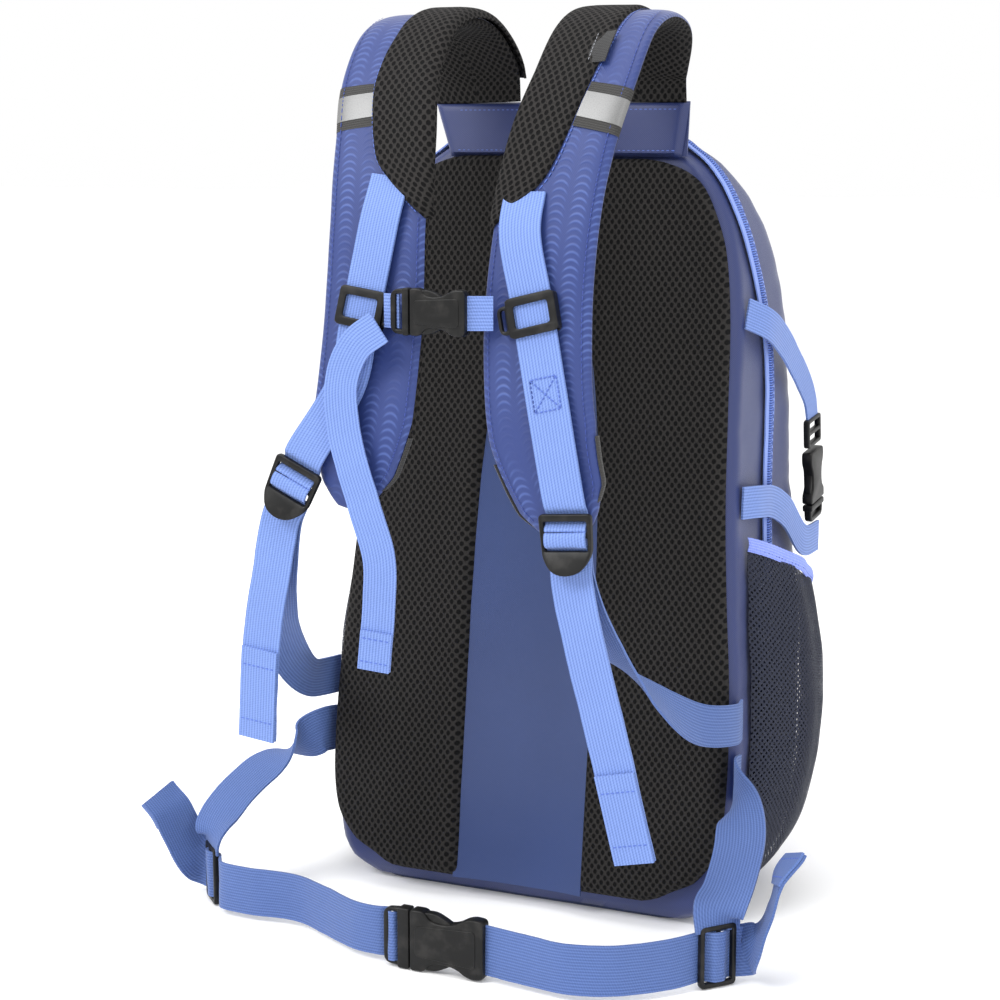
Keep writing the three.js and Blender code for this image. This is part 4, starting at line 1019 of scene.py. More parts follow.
YOKE_TOP = 503.0
STRAP_FOOT = (back_at(YOKE_TOP) - 2.5 - 0.35, YOKE_TOP + 1.8)
STRAP_THICK = 9.0
PAD_HALF = stops((29.5, 30, 30, 30, 30, 30.5, 31.5, 32, 33, 33, 27, 13))
STRAPS = {
    "left": {
        "side": 1,
        "pad": ((56, -27, 525), (67, -52, 547), (70, -87, 552), (71, -118, 542), (69, -142, 515),
                (62, -158, 480), (57, -171, 432), (56, -180, 376), (63, -189, 320), (76, -191, 284), (86, -191, 262)),
        "sewn": (0.6, -14), "top": (0.64, -12), "low": (0.815, 10), "ladder": (82, -200, 275),
        "down": (0.08, 0, -1), "tail": ((92, -201, 214), (108, -199, 150), (124, -195, 80)),
        "lower": ((90, -190, 222), (100, -174, 194), (116, -146, 164), (131, -110, 140)),
        # mesh seam: position along the strap, distance from its middle
        "seam": ((0.1, 10), (0.2, 10), (0.36, 9), (0.393, 8.5), (0.429, 6.5), (0.482, 4.5), (0.531, 3), (0.564, 0),
                 (0.588, -4.5), (0.609, -13.5), (0.626, -24), (0.642, -33)),
    },
    "right": {
        "side": -1,
        "pad": ((-56, -27, 525), (-58, -52, 547), (-58, -87, 552), (-58, -118, 542), (-57, -142, 515),
                (-52, -158, 480), (-49, -171, 432), (-48, -180, 376), (-50, -189, 325), (-55, -191, 295),
                (-61, -191, 270)),
        "sewn": (0.585, 9), "top": (0.63, 5), "low": (0.785, -9), "ladder": (-88, -200, 292),
        "down": (-0.42, 0, -0.9), "tail": ((-107, -201, 230), (-115, -200, 190), (-122, -196, 124)),
        "lower": ((-110, -188, 222), (-122, -166, 188), (-133, -134, 158), (-140, -100, 138)),
        "seam": ((0.1, 1), (0.2, 1), (0.378, 0), (0.425, -3), (0.468, -4.5), (0.507, -4.5), (0.544, -3), (0.572, 1.5),
                 (0.606, 18), (0.628, 32)),
    },
}
LOWER_WEB_ANCHOR, BELT_ANCHOR, SIDE_LIFT = 132.0, 96.0, 1.1
WEB_LIFT = 3.4


def strap_path(strap):
    return Path([(strap["side"] * 55.5, *STRAP_FOOT)] + list(strap["pad"]))


def pad_thick(t):
    return STRAP_THICK * min(1, 0.25 + 9 * t) * (0.8 if t > 0.97 else 1)


def on_strap(path, t, across, lift):
    """Point above the outer face, as the CAD places what lies on the strap."""
    out = path.tangent(t).cross(X).normalized()
    return path.at(t) + X * across + out * (STRAP_THICK / 2 + lift)


def strap_section(t, turn):
    """Offset across and out on the rounded section of a strap pad."""
    half, deep = PAD_HALF(t), pad_thick(t) / 2
    tip = max(0.0, (t - 0.955) / 0.045)
    half *= math.sqrt(max(0.05, 1 - tip * tip * 0.8))
    c, s = math.cos(turn), math.sin(turn)
    return (half * math.copysign(abs(c) ** 0.38, c), deep * 1.02 * math.copysign(abs(s) ** 0.85, s))


def build_strap(tag):
    strap = STRAPS[tag]
    side, path, body = strap["side"], strap_path(STRAPS[tag]), f"strap_{tag}"

    def core_at(u, v):
        wide, out = path.sides(v, X)
        across, lift = strap_section(v, 2 * math.pi * u - math.pi / 2)
        p = path.at(v) + wide * across + out * lift
        return p + out * (0.5 * ripple(p, 26, 4.0 + side)) + wide * 0.3 * ripple(p, 40, 8.0)
    # the mesh of the underside comes a little way round the inner edge
    twill_from, twill_to = (0.245, 0.7) if side > 0 else (0.3, 0.755)
    core = panel(f"strap_pad_{tag}_cloth", 56, 190, core_at, [embossed_twill(), air_mesh("strap_spacer_mesh")],
                 pick=lambda u, v: 0 if twill_from < u < twill_to else 1, closed=True)
    bpy.ops.object.mode_set(mode="EDIT")
    bpy.ops.mesh.select_all(action="SELECT")
    bpy.ops.mesh.fill_holes(sides=80)
    bpy.ops.mesh.normals_make_consistent(inside=False)
    bpy.ops.object.mode_set(mode="OBJECT")
    set_up(core, body, [f"strap_pad_{tag}"])

    seam = table(strap["seam"])
    start, stop = 0.06, strap["seam"][-1][0]

    def cover(u, v):
        t = lerp(start, stop, v)
        wide, out = path.sides(t, X)
        half = PAD_HALF(t)
        edge = seam(t)
        inner = -side * (half + 2.2)
        across = lerp(edge, inner, u)
        f = abs(across) / (half + 2.2)
        deep = pad_thick(t) / 2
        # the cover is thick at its middle, turned in at the seam, and wraps the inner edge of the strap
        wrap = deep * (1 - max(0.0, 1 - f ** 7) ** 0.5) * 1.25 if f > 0.6 else 0.0
        gap = abs(across - edge)
        lift = 0.3 + 2.6 * math.sqrt(max(0.0, 1 - (1 - min(1, gap / 4)) ** 2))
        near_stop = min(1.0, (stop - t) / 0.012 + 0.15)
        p = path.at(t) + wide * across + out * (deep + lift * near_stop - wrap)
        return p + out * 0.5 * ripple(p, 30, 12.0)
    wrap_mesh = panel(f"strap_mesh_{tag}_cover", 30, 130, cover, [air_mesh("strap_spacer_mesh")], thick=1.4)
    flip_if_inward(wrap_mesh)
    set_up(wrap_mesh, body)

    span = [lerp(0.2, stop, n / 70) for n in range(70)]
    lines = [on_strap(path, t, seam(t) + side * 1.6, 0.5) for t in span]
    seams = [stitched(f"strap_seam_{tag}", lines, lambda p: Vector((0, -1, 0.15)))]
    # edge stitching down the outer side, and down the inner side past the end of the mesh seam, stopping short of the
    # tip
    for sign in (-1, 1):
        first = stop if sign == -side else 0.3
        run = [lerp(first, 0.93, n / 60) for n in range(61)]
        spots = []
        for t in run:
            wide, out = path.sides(t, X)
            spots.append(path.at(t) + wide * sign * (PAD_HALF(t) - 4.5) + out * (pad_thick(t) / 2 * 0.93 + 0.2))
        seams.append(stitched(f"strap_edge_{tag}_{sign}", spots, lambda p: Vector((0, -1, 0.15)),
                              material=sewing_thread("navy_thread", "#33499a"), thick=0.3))
    set_up(join(seams), body)

    # black binding round the tip
    def bind(u, v):
        turn = lerp(-0.5, 0.5, v) * math.pi
        centre_t = 0.955
        t = lerp(0.84, 0.999, math.cos(turn) ** 0.5 if math.cos(turn) > 0 else 0)
        wide, out = path.sides(t, X)
        half = PAD_HALF(t) * math.sqrt(max(0.05, 1 - max(0.0, (t - centre_t) / 0.045) ** 2 * 0.8)) + 0.6
        across = half * math.copysign(min(1.0, abs(math.sin(turn)) * 1.02), turn)
        if t > 0.99:
            across = half * math.sin(turn)
        angle = 2 * math.pi * u
        ring = wide * math.copysign(1, turn) * 1.0 * math.cos(angle) + out * 2.4 * math.sin(angle)
        return path.at(t) + wide * across + ring
    set_up(panel(f"strap_binding_{tag}", 8, 60, bind, [black_tape()], closed=True), body)

    # webbing on the strap, its tail and the lower webbing
    top = on_strap(path, *strap["top"], WEB_LIFT + 0.75)
    low = on_strap(path, *strap["low"], WEB_LIFT + 0.75)
    sewn = on_strap(path, *strap["sewn"], 0.35 + 0.75)
    ladder, down = Vector(strap["ladder"]), Vector(strap["down"]).normalized()
    across = Vector((-down.z, 0, down.x))

    def under(depth, back):
        return ladder + down * depth + Vector((0, back, 0))
    straight = [top.lerp(low, f) for f in (0, 0.33, 0.67, 1)]
    thread = [under(-7, 0.2), under(-2.5, 2.6), under(1.5, 3.0), under(4.5, 0.4), under(6.8, -1.6), under(8.2, 0.6)]
    web_path = Path([sewn] + straight + thread)
    web = ribbon(f"strap_webbing_{tag}_cloth", web_path, 25,
                 lambda t: X.lerp(across, ease(t, 0.4, 0.55)), 150, seed=2 + side)
    wide, out = web_path.sides(0.36, X)
    corners = [web_path.at(0.37) + wide * 8 + out * 1.0, web_path.at(0.37) - wide * 8 + out * 1.0,
               web_path.at(0.32) - wide * 8 + out * 1.0, web_path.at(0.32) + wide * 8 + out * 1.0]
    loop = corners + [corners[0], corners[2], corners[1], corners[3]]
    box = stitched(f"box_stitch_{tag}", loop, out, material=sewing_thread(), pitch=2.6)
    set_up(join([web, box]), body, [f"strap_webbing_{tag}"])

    tail_path = Path([under(8.6, 1.6), under(9.2, -2.3), under(12.2, -3.1), under(15.4, -2.2), under(17.2, 1.0),
                      under(22, 3.0), under(36, 3.2)] + list(strap["tail"]))
    tail = ribbon(f"strap_tail_{tag}_cloth", tail_path, 25, lambda t: across.lerp(X, 0.2 * t), 150, hem=16,
                  wave=0.9, seed=5 + side)
    set_up(tail, f"ladder_lock_{tag}", [f"strap_tail_{tag}"])

    anchor = Vector((side * (HALF(LOWER_WEB_ANCHOR) + SIDE_LIFT), back_at(LOWER_WEB_ANCHOR) + 5, LOWER_WEB_ANCHOR))
    anchor_wall = anchor + Vector((side * 2, -16, 1))
    lower_path = Path([under(19, 5.0), under(34, 6.4)] + list(strap["lower"]) + [anchor_wall, anchor])
    lower = ribbon(f"lower_webbing_{tag}_cloth", lower_path, 25,
                   lambda t: across.lerp(Z * -side, ease(t, 0.1, 0.95)), 90, wave=0.6, seed=7 + side,
                   material=belt_cloth())
    set_up(lower, None, [f"lower_webbing_{tag}"],
           blend=("bag", f"strap_{tag}", anchor, under(21, 5.4)))
    build_ladder_lock(tag, ladder, down, across)
    build_sternum_slider(tag, side, top, low)

    # reflective tape between two black tapes, laid across the strap
    spans = (("tape_top", 0.462, 0.4755, black_tape(), 0.3), ("tape_mirror", 0.4755, 0.5105, reflective_tape(), 0.55),
             ("tape_low", 0.5105, 0.524, black_tape(), 0.3))
    tapes = []
    for name, t0, t1, material, lift in spans:
        def tape_at(u, v, t0=t0, t1=t1, lift=lift):
            t = lerp(t0, t1, v)
            wide, out = path.sides(t, X)
            c = seam(t) + side * 1.0
            f_across = lerp(c, side * PAD_HALF(t), u)
            f = min(1.0, abs(f_across) / PAD_HALF(t))
            drop = pad_thick(t) / 2 * 1.02 * (max(0.0, 1 - f ** (2 / 0.38)) ** 0.5) ** 0.85
            return path.at(t) + wide * f_across * 1.01 + out * (drop + lift) + out * 0.3 * ripple(path.at(t), 26, 4)
        tapes.append(panel(f"{name}_{tag}", 26, 8, tape_at, [material], thick=0.5))
    for obj in tapes:
        flip_if_inward(obj)
    set_up(join(tapes), body, [f"reflective_band_{tag}"])


def build_label():
    path = strap_path(STRAPS["left"])

    def at(u, v):
        t = lerp(0.385, 0.437, v)
        across = 6 * (2 * u - 1) - 1 + 6.5
        curl = 1.5 + 1.4 * u * u + 0.3 * math.sin(3 * v)
        return on_strap(path, t, across, 0.6 + curl)
    cloth = panel("woven_label_cloth", 10, 24, at, [label_damask()], thick=0.7)
    flip_if_inward(cloth)
    edge = [on_strap(path, lerp(0.388, 0.434, n / 8), 0.6, 3.2) for n in range(9)]
    seam = stitched("woven_label_seam", edge, lambda p: Vector((0, -0.7, 0.7)), pitch=2.2, thick=0.3,
                    material=sewing_thread("grey_thread", "#8d8f95"))
    set_up(join([cloth, seam]), "strap_left", ["woven_tag"])


# ---- Sternum strap ----------------------------------------------------------

STERNUM = Vector((-15, -196.5, 386))
STERNUM_WEB, BELT_WEB, SIDE_WEB = 20.0, 30.0, 20.0


def build_sternum():
    build_side_release("sternum", "", STERNUM_WEB, placed(STERNUM, X, Z))
    y, z = STERNUM.y, STERNUM.z
    for tag, body, x0, x1, dy in (("left", "sternum_left", STERNUM.x + socket_length(20) - 3, 33, 7),
                                  ("right", "sternum_plug", STERNUM.x - plug_length(20) + 5, -33, 1.8)):
        path = Path([(x0, y, z), ((x0 + x1) / 2, y + dy / 2, z), (x1, y + dy, z)])
        web = ribbon(f"sternum_webbing_{tag}_cloth", path, 19.4, lambda t: Z, 16, seed=11)
        set_up(web, body, [f"sternum_webbing_{tag}"])
    fall = ((-33, -202.4, 377), (-48, -202.4, 366), (-57, -202.6, 347), (-56, -203.6, 318),
            (-50, -203.6, 295), (-43, -203, 272), (-34, -202.4, 242), (-35, -201.4, 214), (-39, -200.4, 176))
    tail = ribbon("sternum_tail_cloth", Path(fall), 20,
                  lambda t: Vector((0.6, 0, -0.8)).lerp(Vector((1, 0.12, 0.05)), ease(t, 0, 0.3)), 90, hem=16,
                  wave=0.9, seed=13)
    set_up(tail, "sternum_right", ["sternum_tail"])


# ---- Hip belt ---------------------------------------------------------------

BELT_Y, BELT_JOIN = -208.5, -11.0


def build_belt():
    lift = (BELT_WEB + 7) / 2 + 0.1
    z = lift
    build_side_release("belt", "", BELT_WEB, placed(Vector((BELT_JOIN, BELT_Y, z)), X, Z))
    socket_end = BELT_JOIN + socket_length(BELT_WEB) + 0.35
    plug_end = BELT_JOIN - plug_length(BELT_WEB) - 0.35
    runs = {
        "left": [(socket_end, BELT_Y), (64, -213), (90, -216), (116, -207), (141, -185), (153, -170)],
        "right": [(plug_end, BELT_Y), (-52, -204), (-80, -190), (-110, -178), (-140, -180), (-162, -177), (-171, -168)],
    }
    for tag, flat in runs.items():
        side = 1 if tag == "left" else -1
        run = [Vector((x, y, z)) for x, y in flat]
        out = (run[-1] - run[-2]).normalized()
        glide_half = glide_length(BELT_WEB) / 2
        glide = run[-1] + out * (glide_half + 1.2)
        front = Vector((side * out.y, -side * out.x, 0))
        # the webbing goes in behind the plug's outer bar, or into the end of the socket
        lead = [run[0] + Vector((-5 * side, 0, 0))] if side > 0 else \
            [run[0] + Vector(v) for v in ((9, 0.5, 0), (7, -2.8, 0), (4.6, -2.2, 0), (3, 1.5, 0), (0, 3.6, 0),
                                          (-5, 2.4, 0))]
        weave = [glide + out * a + front * b for a, b in ((-12, -2.6), (-9, -2.7), (-6, -0.6), (-3, 2.5), (0, 2.9),
                                                          (3, 2.5), (6, -0.6), (9, -2.7))]
        middle = run[:-1] if side > 0 else run[1:-1]
        web = ribbon(f"belt_webbing_{tag}_cloth", Path(lead + middle + weave), BELT_WEB, lambda t: Z, 260,
                     wave=0.8, seed=17 + side, material=belt_cloth())
        if side > 0:
            set_up(web, "hip_belt", [f"belt_webbing_{tag}"])
        else:
            set_up(web, None, [f"belt_webbing_{tag}"],
                   blend=("hip_belt", "belt_plug", run[3], run[0] + Vector((-4, 0, 0))))
        build_glide(f"tri_glide_{tag}", BELT_WEB, placed(glide, out, Z))
        anchor = Vector((side * (HALF(BELT_ANCHOR) + SIDE_LIFT), back_at(BELT_ANCHOR) + 5, BELT_ANCHOR))
        start = glide + Vector((0, 0, lift - 4))
        rise = [Vector((163, -146, 56)), Vector((161, -122, 74)), Vector((151, -94, 90))] if side > 0 else \
            [Vector((-181, -144, 56)), Vector((-172, -118, 74)), Vector((-154, -92, 90))]
        wing_path = Path([start, start + Vector((0, 0.5, 11))] + rise + [anchor + Vector((side * 2, -14, 1)), anchor])

        def across(t, out=out, side=side):
            return (out * side).lerp(X, ease(t, 0.05, 0.35)).lerp(Z, ease(t, 0.5, 0.8))
        wing = ribbon(f"belt_wing_{tag}_cloth", wing_path, BELT_WEB, across, 100, wave=0.7, seed=19 + side,
                      material=belt_cloth())
        set_up(wing, None, [f"belt_wing_{tag}"], blend=("bag", "hip_belt", anchor, start))
        outer = glide + out * (glide_half + 0.8)
        steps = ((12, 2, 8), (19, 4, 26), (23, 10, 44), (29, 20, 56)) if side > 0 else \
            ((-11, 0, 8), (-17, -5, 24), (-22, -9, 38), (-30, -11, 48))
        tail_path = Path([outer - out * 5 - front * 2.7, outer - front, outer + out * 5]
                         + [outer + Vector(s) for s in steps])
        tail = ribbon(f"belt_tail_{tag}_cloth", tail_path, BELT_WEB,
                      lambda t, side=side: Z.lerp(Vector((-0.3 * side, 0.95, 0.1)), ease(t, 0.25, 0.65)), 70, hem=16,
                      wave=0.7, seed=23 + side, material=belt_cloth())
        set_up(tail, "hip_belt", [f"belt_tail_{tag}"])


# ---- Side pockets and compression straps ------------------------------------

POCKET_LOW, POCKET_BULGE, ELASTIC = 18.0, 27.0, 8.0


def pocket_top(u):
    return lerp(232, 190, u)


def pocket_point(side, u, z, lift):
    half, radius = HALF(z), CORNER(z)
    front = back_at(z) + DEPTH(z)
    y = lerp(back_at(z) + INSET(z) + 20, front - radius * 0.8, u)
    over = max(0.0, y - (front - radius))
    edge = half - radius + math.sqrt(max(0.0, radius ** 2 - over ** 2))
    v = (z - POCKET_LOW) / (pocket_top(u) - POCKET_LOW)
    belly = math.sin(math.pi * u) ** 0.7 * max(0.0, math.sin(math.pi * min(1, 0.015 + 0.785 * v))) ** 0.6
    return Vector((side * (edge + 0.6 + lift + POCKET_BULGE * belly), y, z))


def build_pocket(tag):
    side = 1 if tag == "left" else -1

    def net(u, v):
        u = min(0.999, max(0.001, u))
        p = pocket_point(side, u, lerp(POCKET_LOW, pocket_top(u), v), 0.8)
        # loose pleats that run down from the elastic
        pleat = 1.6 * math.sin(2 * math.pi * (2.6 * u + 0.25 * v) + side) * math.sin(math.pi * u) * (0.35 + 0.65 * v)
        return p + Vector((side * (pleat + 0.8 * ripple(p, 24, 30 + side)), 0, 0))
    mesh = panel(f"side_pocket_{tag}_net", 54, 64, net, [pocket_net()], thick=0.9, offset=0)
    set_up(mesh, "bag", [f"side_pocket_{tag}"])

    def band(u, v):
        u = min(0.999, max(0.001, u))
        p = pocket_point(side, u, pocket_top(u), 0.9) + Vector((0, 0, 0.3 + (ELASTIC + 0.6) * v - 0.8))
        pleat = 1.2 * math.sin(2 * math.pi * 2.6 * u + side) * math.sin(math.pi * u)
        gather = 0.22 * math.sin(2 * math.pi * u * 34)
        return p + Vector((side * (pleat + gather + 1.0 * math.sin(math.pi * v)), 0, 0))
    elastic = panel(f"pocket_elastic_{tag}_cloth", 150, 8, band, [elastic_cloth()], thick=1.8, offset=0)
    line = []
    for n in range(41):
        u = n / 40 * 0.96 + 0.02
        p = pocket_point(side, u, pocket_top(u), 0.9) + Vector((side * (1.6 + 1.2 * math.sin(2 * math.pi * 2.6 * u
                                                               + side) * math.sin(math.pi * u)), 0, 1.6))
        line.append(p)
    sewn = stitched(f"elastic_seam_{tag}", line, Vector((side, 0, 0)), thick=0.3,
                    material=sewing_thread("navy_thread", "#33499a"))
    set_up(join([elastic, sewn]), "bag", [f"pocket_elastic_{tag}"])

    # black edge tape at the pocket's foot
    def foot(u, v):
        u = min(0.999, max(0.001, u))
        p = pocket_point(side, u, POCKET_LOW + 6 * v - 2, 1.2)
        return p + Vector((side * 0.6 * math.sin(math.pi * v), 0, 0))
    set_up(panel(f"pocket_foot_{tag}_tape", 60, 5, foot, [black_tape()], thick=0.9, offset=0), "bag")


def build_compression(tag):
    side = 1 if tag == "left" else -1
    x = side * (HALF(LID_HEIGHT) + 4)
    join_at = Vector((x + side * 1.5, 84, 246))
    axis = Vector((0, 0.12, -1)).normalized()
    across = Vector((0, 1, 0.12))
    glide_half = glide_length(SIDE_WEB) / 2
    glide = socket_length(SIDE_WEB) + 3 + glide_half
    top = join_at - axis * (glide + glide_half + 3.8)

    def seam(z):
        return Vector((side * (HALF(z) + SIDE_LIFT + 0.8), back_at(z) + 11, z))
    high, low = seam(377), seam(262)
    upper_path = Path([high, (x - side, high.y + 14, high.z - 7), (x, high.y + 40, high.z - 19),
                       (x, top.y - 26, top.z + 29), (x + side, top.y - 5, top.z + 10), top + axis * 6])
    upper = ribbon(f"side_strap_upper_{tag}_cloth", upper_path, SIDE_WEB,
                   lambda t: Vector((0, 0.5, 0.85)).lerp(across, ease(t, 0.45, 0.95)), 60, wave=0.4, seed=31 + side)
    set_up(upper, None, [f"side_strap_upper_{tag}"],
           blend=("bag", f"side_adjuster_{tag}", top - axis * 40, top))
    end = join_at + axis * (plug_length(SIDE_WEB) + SIDE_WEB / 2 + 3) + Vector((0, 9, 0))
    lower_path = Path([low, (x - side, low.y + 16, low.z - 1), (x, low.y + 42, low.z - 5),
                       (x + side, low.y + 68, low.z - 16), (x + side * 1.5, end.y - 32, end.z + 2), end])
    lower = ribbon(f"side_strap_lower_{tag}_cloth", lower_path, SIDE_WEB, lambda t: Z, 60, wave=0.4, seed=37 + side)
    set_up(lower, None, [f"side_strap_lower_{tag}"],
           blend=("bag", f"side_plug_{tag}", low + Vector((0, 30, 0)), end))
    build_side_release("side", f"_{tag}", SIDE_WEB, placed(join_at, -axis, across.normalized() * side))
    build_glide(f"side_adjuster_{tag}", SIDE_WEB, placed(join_at - axis * glide, -axis, across.normalized() * side))


# ---- Zips, front pocket and haul loop ---------------------------------------


def zip_line():
    """The line where the two halves of the main zip meet: up one side, over the top, down the other."""
    up = [(HALF(z), z) for z in (207, 232, 260, 290, 320, 350, 375, 395, 415, 430, 445, 456, 466, 474)]
    half = up + [(75, 480), (50, 480), (25, 480)]
    both = half + [(0, 480)] + [(-a, z) for a, z in half[::-1]]
    return [Vector((a, zip_at(z), z)) for a, z in both]


def zip_out(path, t):
    tangent = path.tangent(t)
    return Vector((tangent.z, 0, -tangent.x)).normalized()


def build_zips():
    path = Path(zip_line())
    for tag, sign, body in (("rear", -1, "bag"), ("front", 1, "front_panel")):
        def tape(u, v, sign=sign):
            out = zip_out(path, v)
            shift = lerp(0.3, 9.3, u)
            return path.at(v) + Y * sign * shift + out * (1.7 + 0.25 * ripple(path.at(v), 18, sign))

        def coil(u, v, sign=sign):
            out = zip_out(path, v)
            a = math.pi * u
            return path.at(v) + Y * sign * (0.15 + 1.5 - 1.5 * math.cos(a)) + out * (2.0 + 1.5 * math.sin(a))
        cloth = panel(f"zip_tape_{tag}_cloth", 6, 320, tape, [zip_tape_cloth()], thick=0.9)
        teeth = panel(f"zip_coil_{tag}", 6, 420, coil, [zip_coil()], thick=0.4)
        line = [path.at(n / 120) + Y * sign * 7.6 + zip_out(path, n / 120) * 2.0 for n in range(121)]
        seam = stitched(f"zip_seam_{tag}", line, lambda p: X if p.x > 0 else -X, thick=0.3, pitch=3.6)
        set_up(join([cloth, teeth, seam]), body, [f"zip_tape_{tag}"])
    for node in ("main_zip_slider", "main_zip_pull", "front_zip_slider", "front_zip_pull"):
        moulded(node, 0.4, painted_zinc())


def build_front_pocket():
    def at(u, v):
        x, z = lerp(-88, 88, u), lerp(226, 352, v)
        belly = (max(0.0, math.sin(math.pi * u)) * max(0.0, math.sin(math.pi * v))) ** 0.4
        p = Vector((x, front_at(x, z) + 0.8 + 20 * belly, z))
        return p + Y * (0.9 * ripple(p, 40, 41) - 0.6 * max(0.0, 0.3 - abs(ripple(p, 28, 43)))) * belly
    cloth = panel("front_pocket_cloth", 70, 54, at, [embossed_twill()], thick=1.6)
    flip_if_inward(cloth)
    rim = []
    for a, b in (((-84, 230), (84, 230)), ((84, 230), (84, 348)), ((84, 348), (-84, 348)), ((-84, 348), (-84, 230))):
        spots = []
        for n in range(31):
            x, z = lerp(a[0], b[0], n / 30), lerp(a[1], b[1], n / 30)
            spots.append(at((x + 88) / 176, (z - 226) / 126) + Y * 0.25)
        rim.append(stitched(f"pocket_rim_{a}_{b}".replace(" ", "").replace("(", "").replace(")", "").replace(",", "_"),
                            spots, Y, thick=0.32))
    set_up(join([cloth] + rim), "front_panel", ["front_pocket"])

    z = 360.0
    rise = Vector((0, front_at(0, z + 2) - front_at(0, z - 2), 4)).normalized()
    out = Vector((0, rise.z, -rise.y))
    mid = Vector((0, front_at(0, z), z))

    def tape(u, v):
        return mid + X * lerp(-70, 70, v) + rise * lerp(-6, 6, u) + out * 1.8

    def coil(u, v):
        a = math.pi * u
        return mid + X * lerp(-68, 68, v) + rise * -2.4 * math.cos(a) + out * (2.0 + 1.4 * math.sin(a))
    cloth = panel("front_zip_tape_cloth", 8, 90, tape, [zip_tape_cloth()], thick=0.9)
    teeth = panel("front_zip_coil", 6, 170, coil, [zip_coil()], thick=0.4)
    set_up(join([cloth, teeth]), "front_panel", ["front_zip_tape"])


def build_haul_loop():
    y, z = back_at(YOKE_TOP) - 2.5, YOKE_TOP + 2.6
    reach = ((-13, 0, 0), (-13.5, 5, 9), (-9, 10, 16), (2, 13, 20), (13, 10, 16), (17.5, 5, 9), (17, 0, 0))
    path = Path([(dx, y + dy, z + dz) for dx, dy, dz in reach])
    loop = ribbon("haul_loop_cloth", path, 14, lambda t: Vector((0, 0.86, -0.5)), 60, seed=47, wave=0.3)
    set_up(loop, "haul_loop", ["haul_loop"])


# ---- Stage ------------------------------------------------------------------


def build_stage():
    bpy.ops.object.select_all(action="DESELECT")
    bpy.ops.mesh.primitive_plane_add(size=30, location=(0, 0, -0.0005))
    floor = bpy.context.object
    floor.name = "floor"
    paper = surface("white_paper", "#f7f7f7", Roughness=0.9, Emission_Color=(1, 1, 1, 1), Emission_Strength=0.09)
    floor.data.materials.append(paper)

    world = bpy.data.worlds.new("studio")
    bpy.context.scene.world = world
    world.use_nodes = True
    world.node_tree.nodes["Background"].inputs["Color"].default_value = (1, 1, 1, 1)
    world.node_tree.nodes["Background"].inputs["Strength"].default_value = 1.0

    for name, place, size, power in (("key", (-1.2, -2.0, 2.2), 1.2, 52), ("fill", (2.4, -1.4, 1.6), 1.8, 16),
                                     ("top", (0.1, -0.2, 2.6), 1.4, 26)):
        bpy.ops.object.light_add(type="AREA", location=place)
        lamp = bpy.context.object
        lamp.name = name
        lamp.data.size = size
        lamp.data.energy = power
        lamp.rotation_euler = (Vector((0, 0, 0.25)) - Vector(place)).to_track_quat("-Z", "Y").to_euler()

    bpy.ops.object.camera_add(location=(0.55783, -1.306, 0.48649))
    camera = bpy.context.object
    camera.name = "camera"
    camera.data.lens = 79.2
    camera.data.sensor_width = 36
    camera.data.clip_start = 0.05
    camera.rotation_euler = Vector((-0.41682, 0.89388, -0.16505)).to_track_quat("-Z", "Y").to_euler()
    bpy.context.scene.camera = camera
    bpy.context.scene.view_settings.view_transform = "Standard"


# ---- Operators --------------------------------------------------------------


class PACK_OT_Stage(bpy.types.Operator):
    """Floor, studio light and camera."""
    bl_idname = "daypack.stage"
    bl_label = "Stage"
    bl_options = {"REGISTER", "UNDO"}

    def execute(self, context):
        build_stage()
        return {"FINISHED"}


class PACK_OT_BagCloth(bpy.types.Operator):
    """Rear cloth, lower front and opening lid."""
    bl_idname = "daypack.bag_cloth"
    bl_label = "Bag Cloth"
    bl_options = {"REGISTER", "UNDO"}

    def execute(self, context):
        build_shell()
        return {"FINISHED"}


class PACK_OT_BackPanel(bpy.types.Operator):
    """Mesh pads, channel, yoke, base and inner sleeve."""
    bl_idname = "daypack.back_panel"
    bl_label = "Back Panel"
    bl_options = {"REGISTER", "UNDO"}

    def execute(self, context):
        build_back()
        return {"FINISHED"}


class PACK_OT_ShoulderStraps(bpy.types.Operator):
    """Pads, mesh covers, webbing, tape and ladder locks."""
    bl_idname = "daypack.shoulder_straps"
    bl_label = "Shoulder Straps"
    bl_options = {"REGISTER", "UNDO"}

    def execute(self, context):
        build_strap("left")
        build_strap("right")
        return {"FINISHED"}


class PACK_OT_Label(bpy.types.Operator):
    """Blank label sewn into the left strap's seam."""
    bl_idname = "daypack.label"
    bl_label = "Woven Label"
    bl_options = {"REGISTER", "UNDO"}

    def execute(self, context):
        build_label()
        return {"FINISHED"}


class PACK_OT_SternumStrap(bpy.types.Operator):
    """Buckle, webbing and hanging tail."""
    bl_idname = "daypack.sternum_strap"
    bl_label = "Sternum Strap"
    bl_options = {"REGISTER", "UNDO"}

    def execute(self, context):
        build_sternum()
        return {"FINISHED"}


class PACK_OT_HipBelt(bpy.types.Operator):
    """Buckle, webbing, tri-glides, wings and tails."""
    bl_idname = "daypack.hip_belt"
    bl_label = "Hip Belt"
    bl_options = {"REGISTER", "UNDO"}

    def execute(self, context):
        build_belt()
        return {"FINISHED"}


class PACK_OT_SidePockets(bpy.types.Operator):
    """Net pockets with elastic edges."""
    bl_idname = "daypack.side_pockets"
    bl_label = "Side Pockets"
    bl_options = {"REGISTER", "UNDO"}

    def execute(self, context):
        build_pocket("left")
        build_pocket("right")
        return {"FINISHED"}


class PACK_OT_Compression(bpy.types.Operator):
    """Side straps with their buckles."""
    bl_idname = "daypack.compression_straps"
    bl_label = "Compression Straps"
    bl_options = {"REGISTER", "UNDO"}

    def execute(self, context):
        build_compression("left")
        build_compression("right")
        return {"FINISHED"}


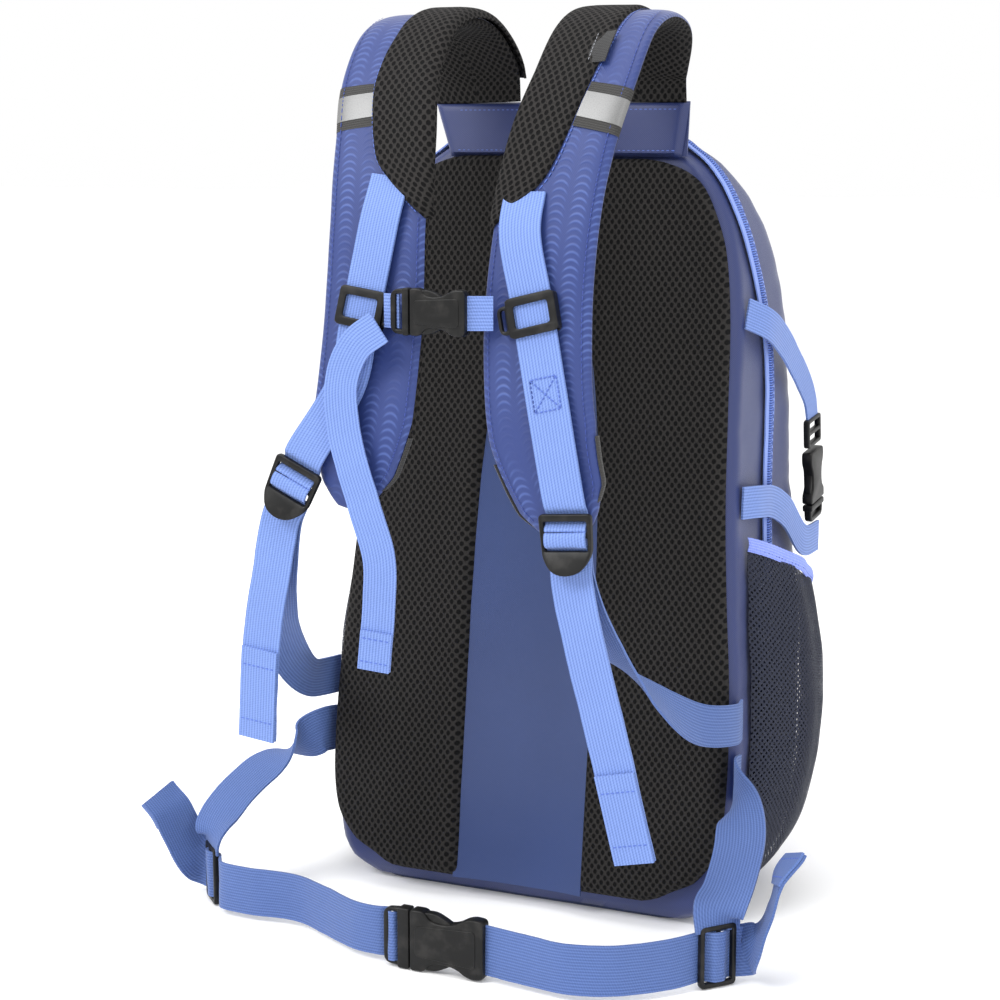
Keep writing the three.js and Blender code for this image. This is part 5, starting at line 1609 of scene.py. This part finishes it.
class PACK_OT_MainZip(bpy.types.Operator):
    """Tapes, coils, sliders and pulls."""
    bl_idname = "daypack.main_zip"
    bl_label = "Zips"
    bl_options = {"REGISTER", "UNDO"}

    def execute(self, context):
        build_zips()
        return {"FINISHED"}


class PACK_OT_FrontPocket(bpy.types.Operator):
    """Pocket on the lid and its zip."""
    bl_idname = "daypack.front_pocket"
    bl_label = "Front Pocket"
    bl_options = {"REGISTER", "UNDO"}

    def execute(self, context):
        build_front_pocket()
        return {"FINISHED"}


class PACK_OT_HaulLoop(bpy.types.Operator):
    """Webbing loop on the yoke."""
    bl_idname = "daypack.haul_loop"
    bl_label = "Haul Loop"
    bl_options = {"REGISTER", "UNDO"}

    def execute(self, context):
        build_haul_loop()
        return {"FINISHED"}


OPERATORS = (
    PACK_OT_Stage, PACK_OT_BagCloth, PACK_OT_BackPanel, PACK_OT_ShoulderStraps,
    PACK_OT_Label, PACK_OT_SternumStrap, PACK_OT_HipBelt, PACK_OT_SidePockets,
    PACK_OT_Compression, PACK_OT_MainZip, PACK_OT_FrontPocket, PACK_OT_HaulLoop,
)


class PACK_PT_Panel(bpy.types.Panel):
    """Lists the pieces and the sizes they are built from."""
    bl_idname = "PACK_PT_panel"
    bl_label = "Day Pack"
    bl_space_type = "VIEW_3D"
    bl_region_type = "UI"
    bl_category = "Day Pack"

    def draw(self, context):
        for group in (context.scene.pack_sizes, context.scene.pack_colours):
            for key in group.bl_rna.properties.keys():
                if key not in ("name", "rna_type"):
                    self.layout.prop(group, key)
        for operator in OPERATORS:
            self.layout.operator(operator.bl_idname)


CLASSES = (PackSizes, PackColours) + OPERATORS + (PACK_PT_Panel,)


def register():
    for cls in CLASSES:
        bpy.utils.register_class(cls)
    bpy.types.Scene.pack_sizes = bpy.props.PointerProperty(type=PackSizes)
    bpy.types.Scene.pack_colours = bpy.props.PointerProperty(type=PackColours)


def unregister():
    del bpy.types.Scene.pack_colours
    del bpy.types.Scene.pack_sizes
    for cls in reversed(CLASSES):
        bpy.utils.unregister_class(cls)


def main():
    register()
    for operator in OPERATORS:
        group, name = operator.bl_idname.split(".")
        getattr(getattr(bpy.ops, group), name)()


if __name__ == "__main__":
    main()
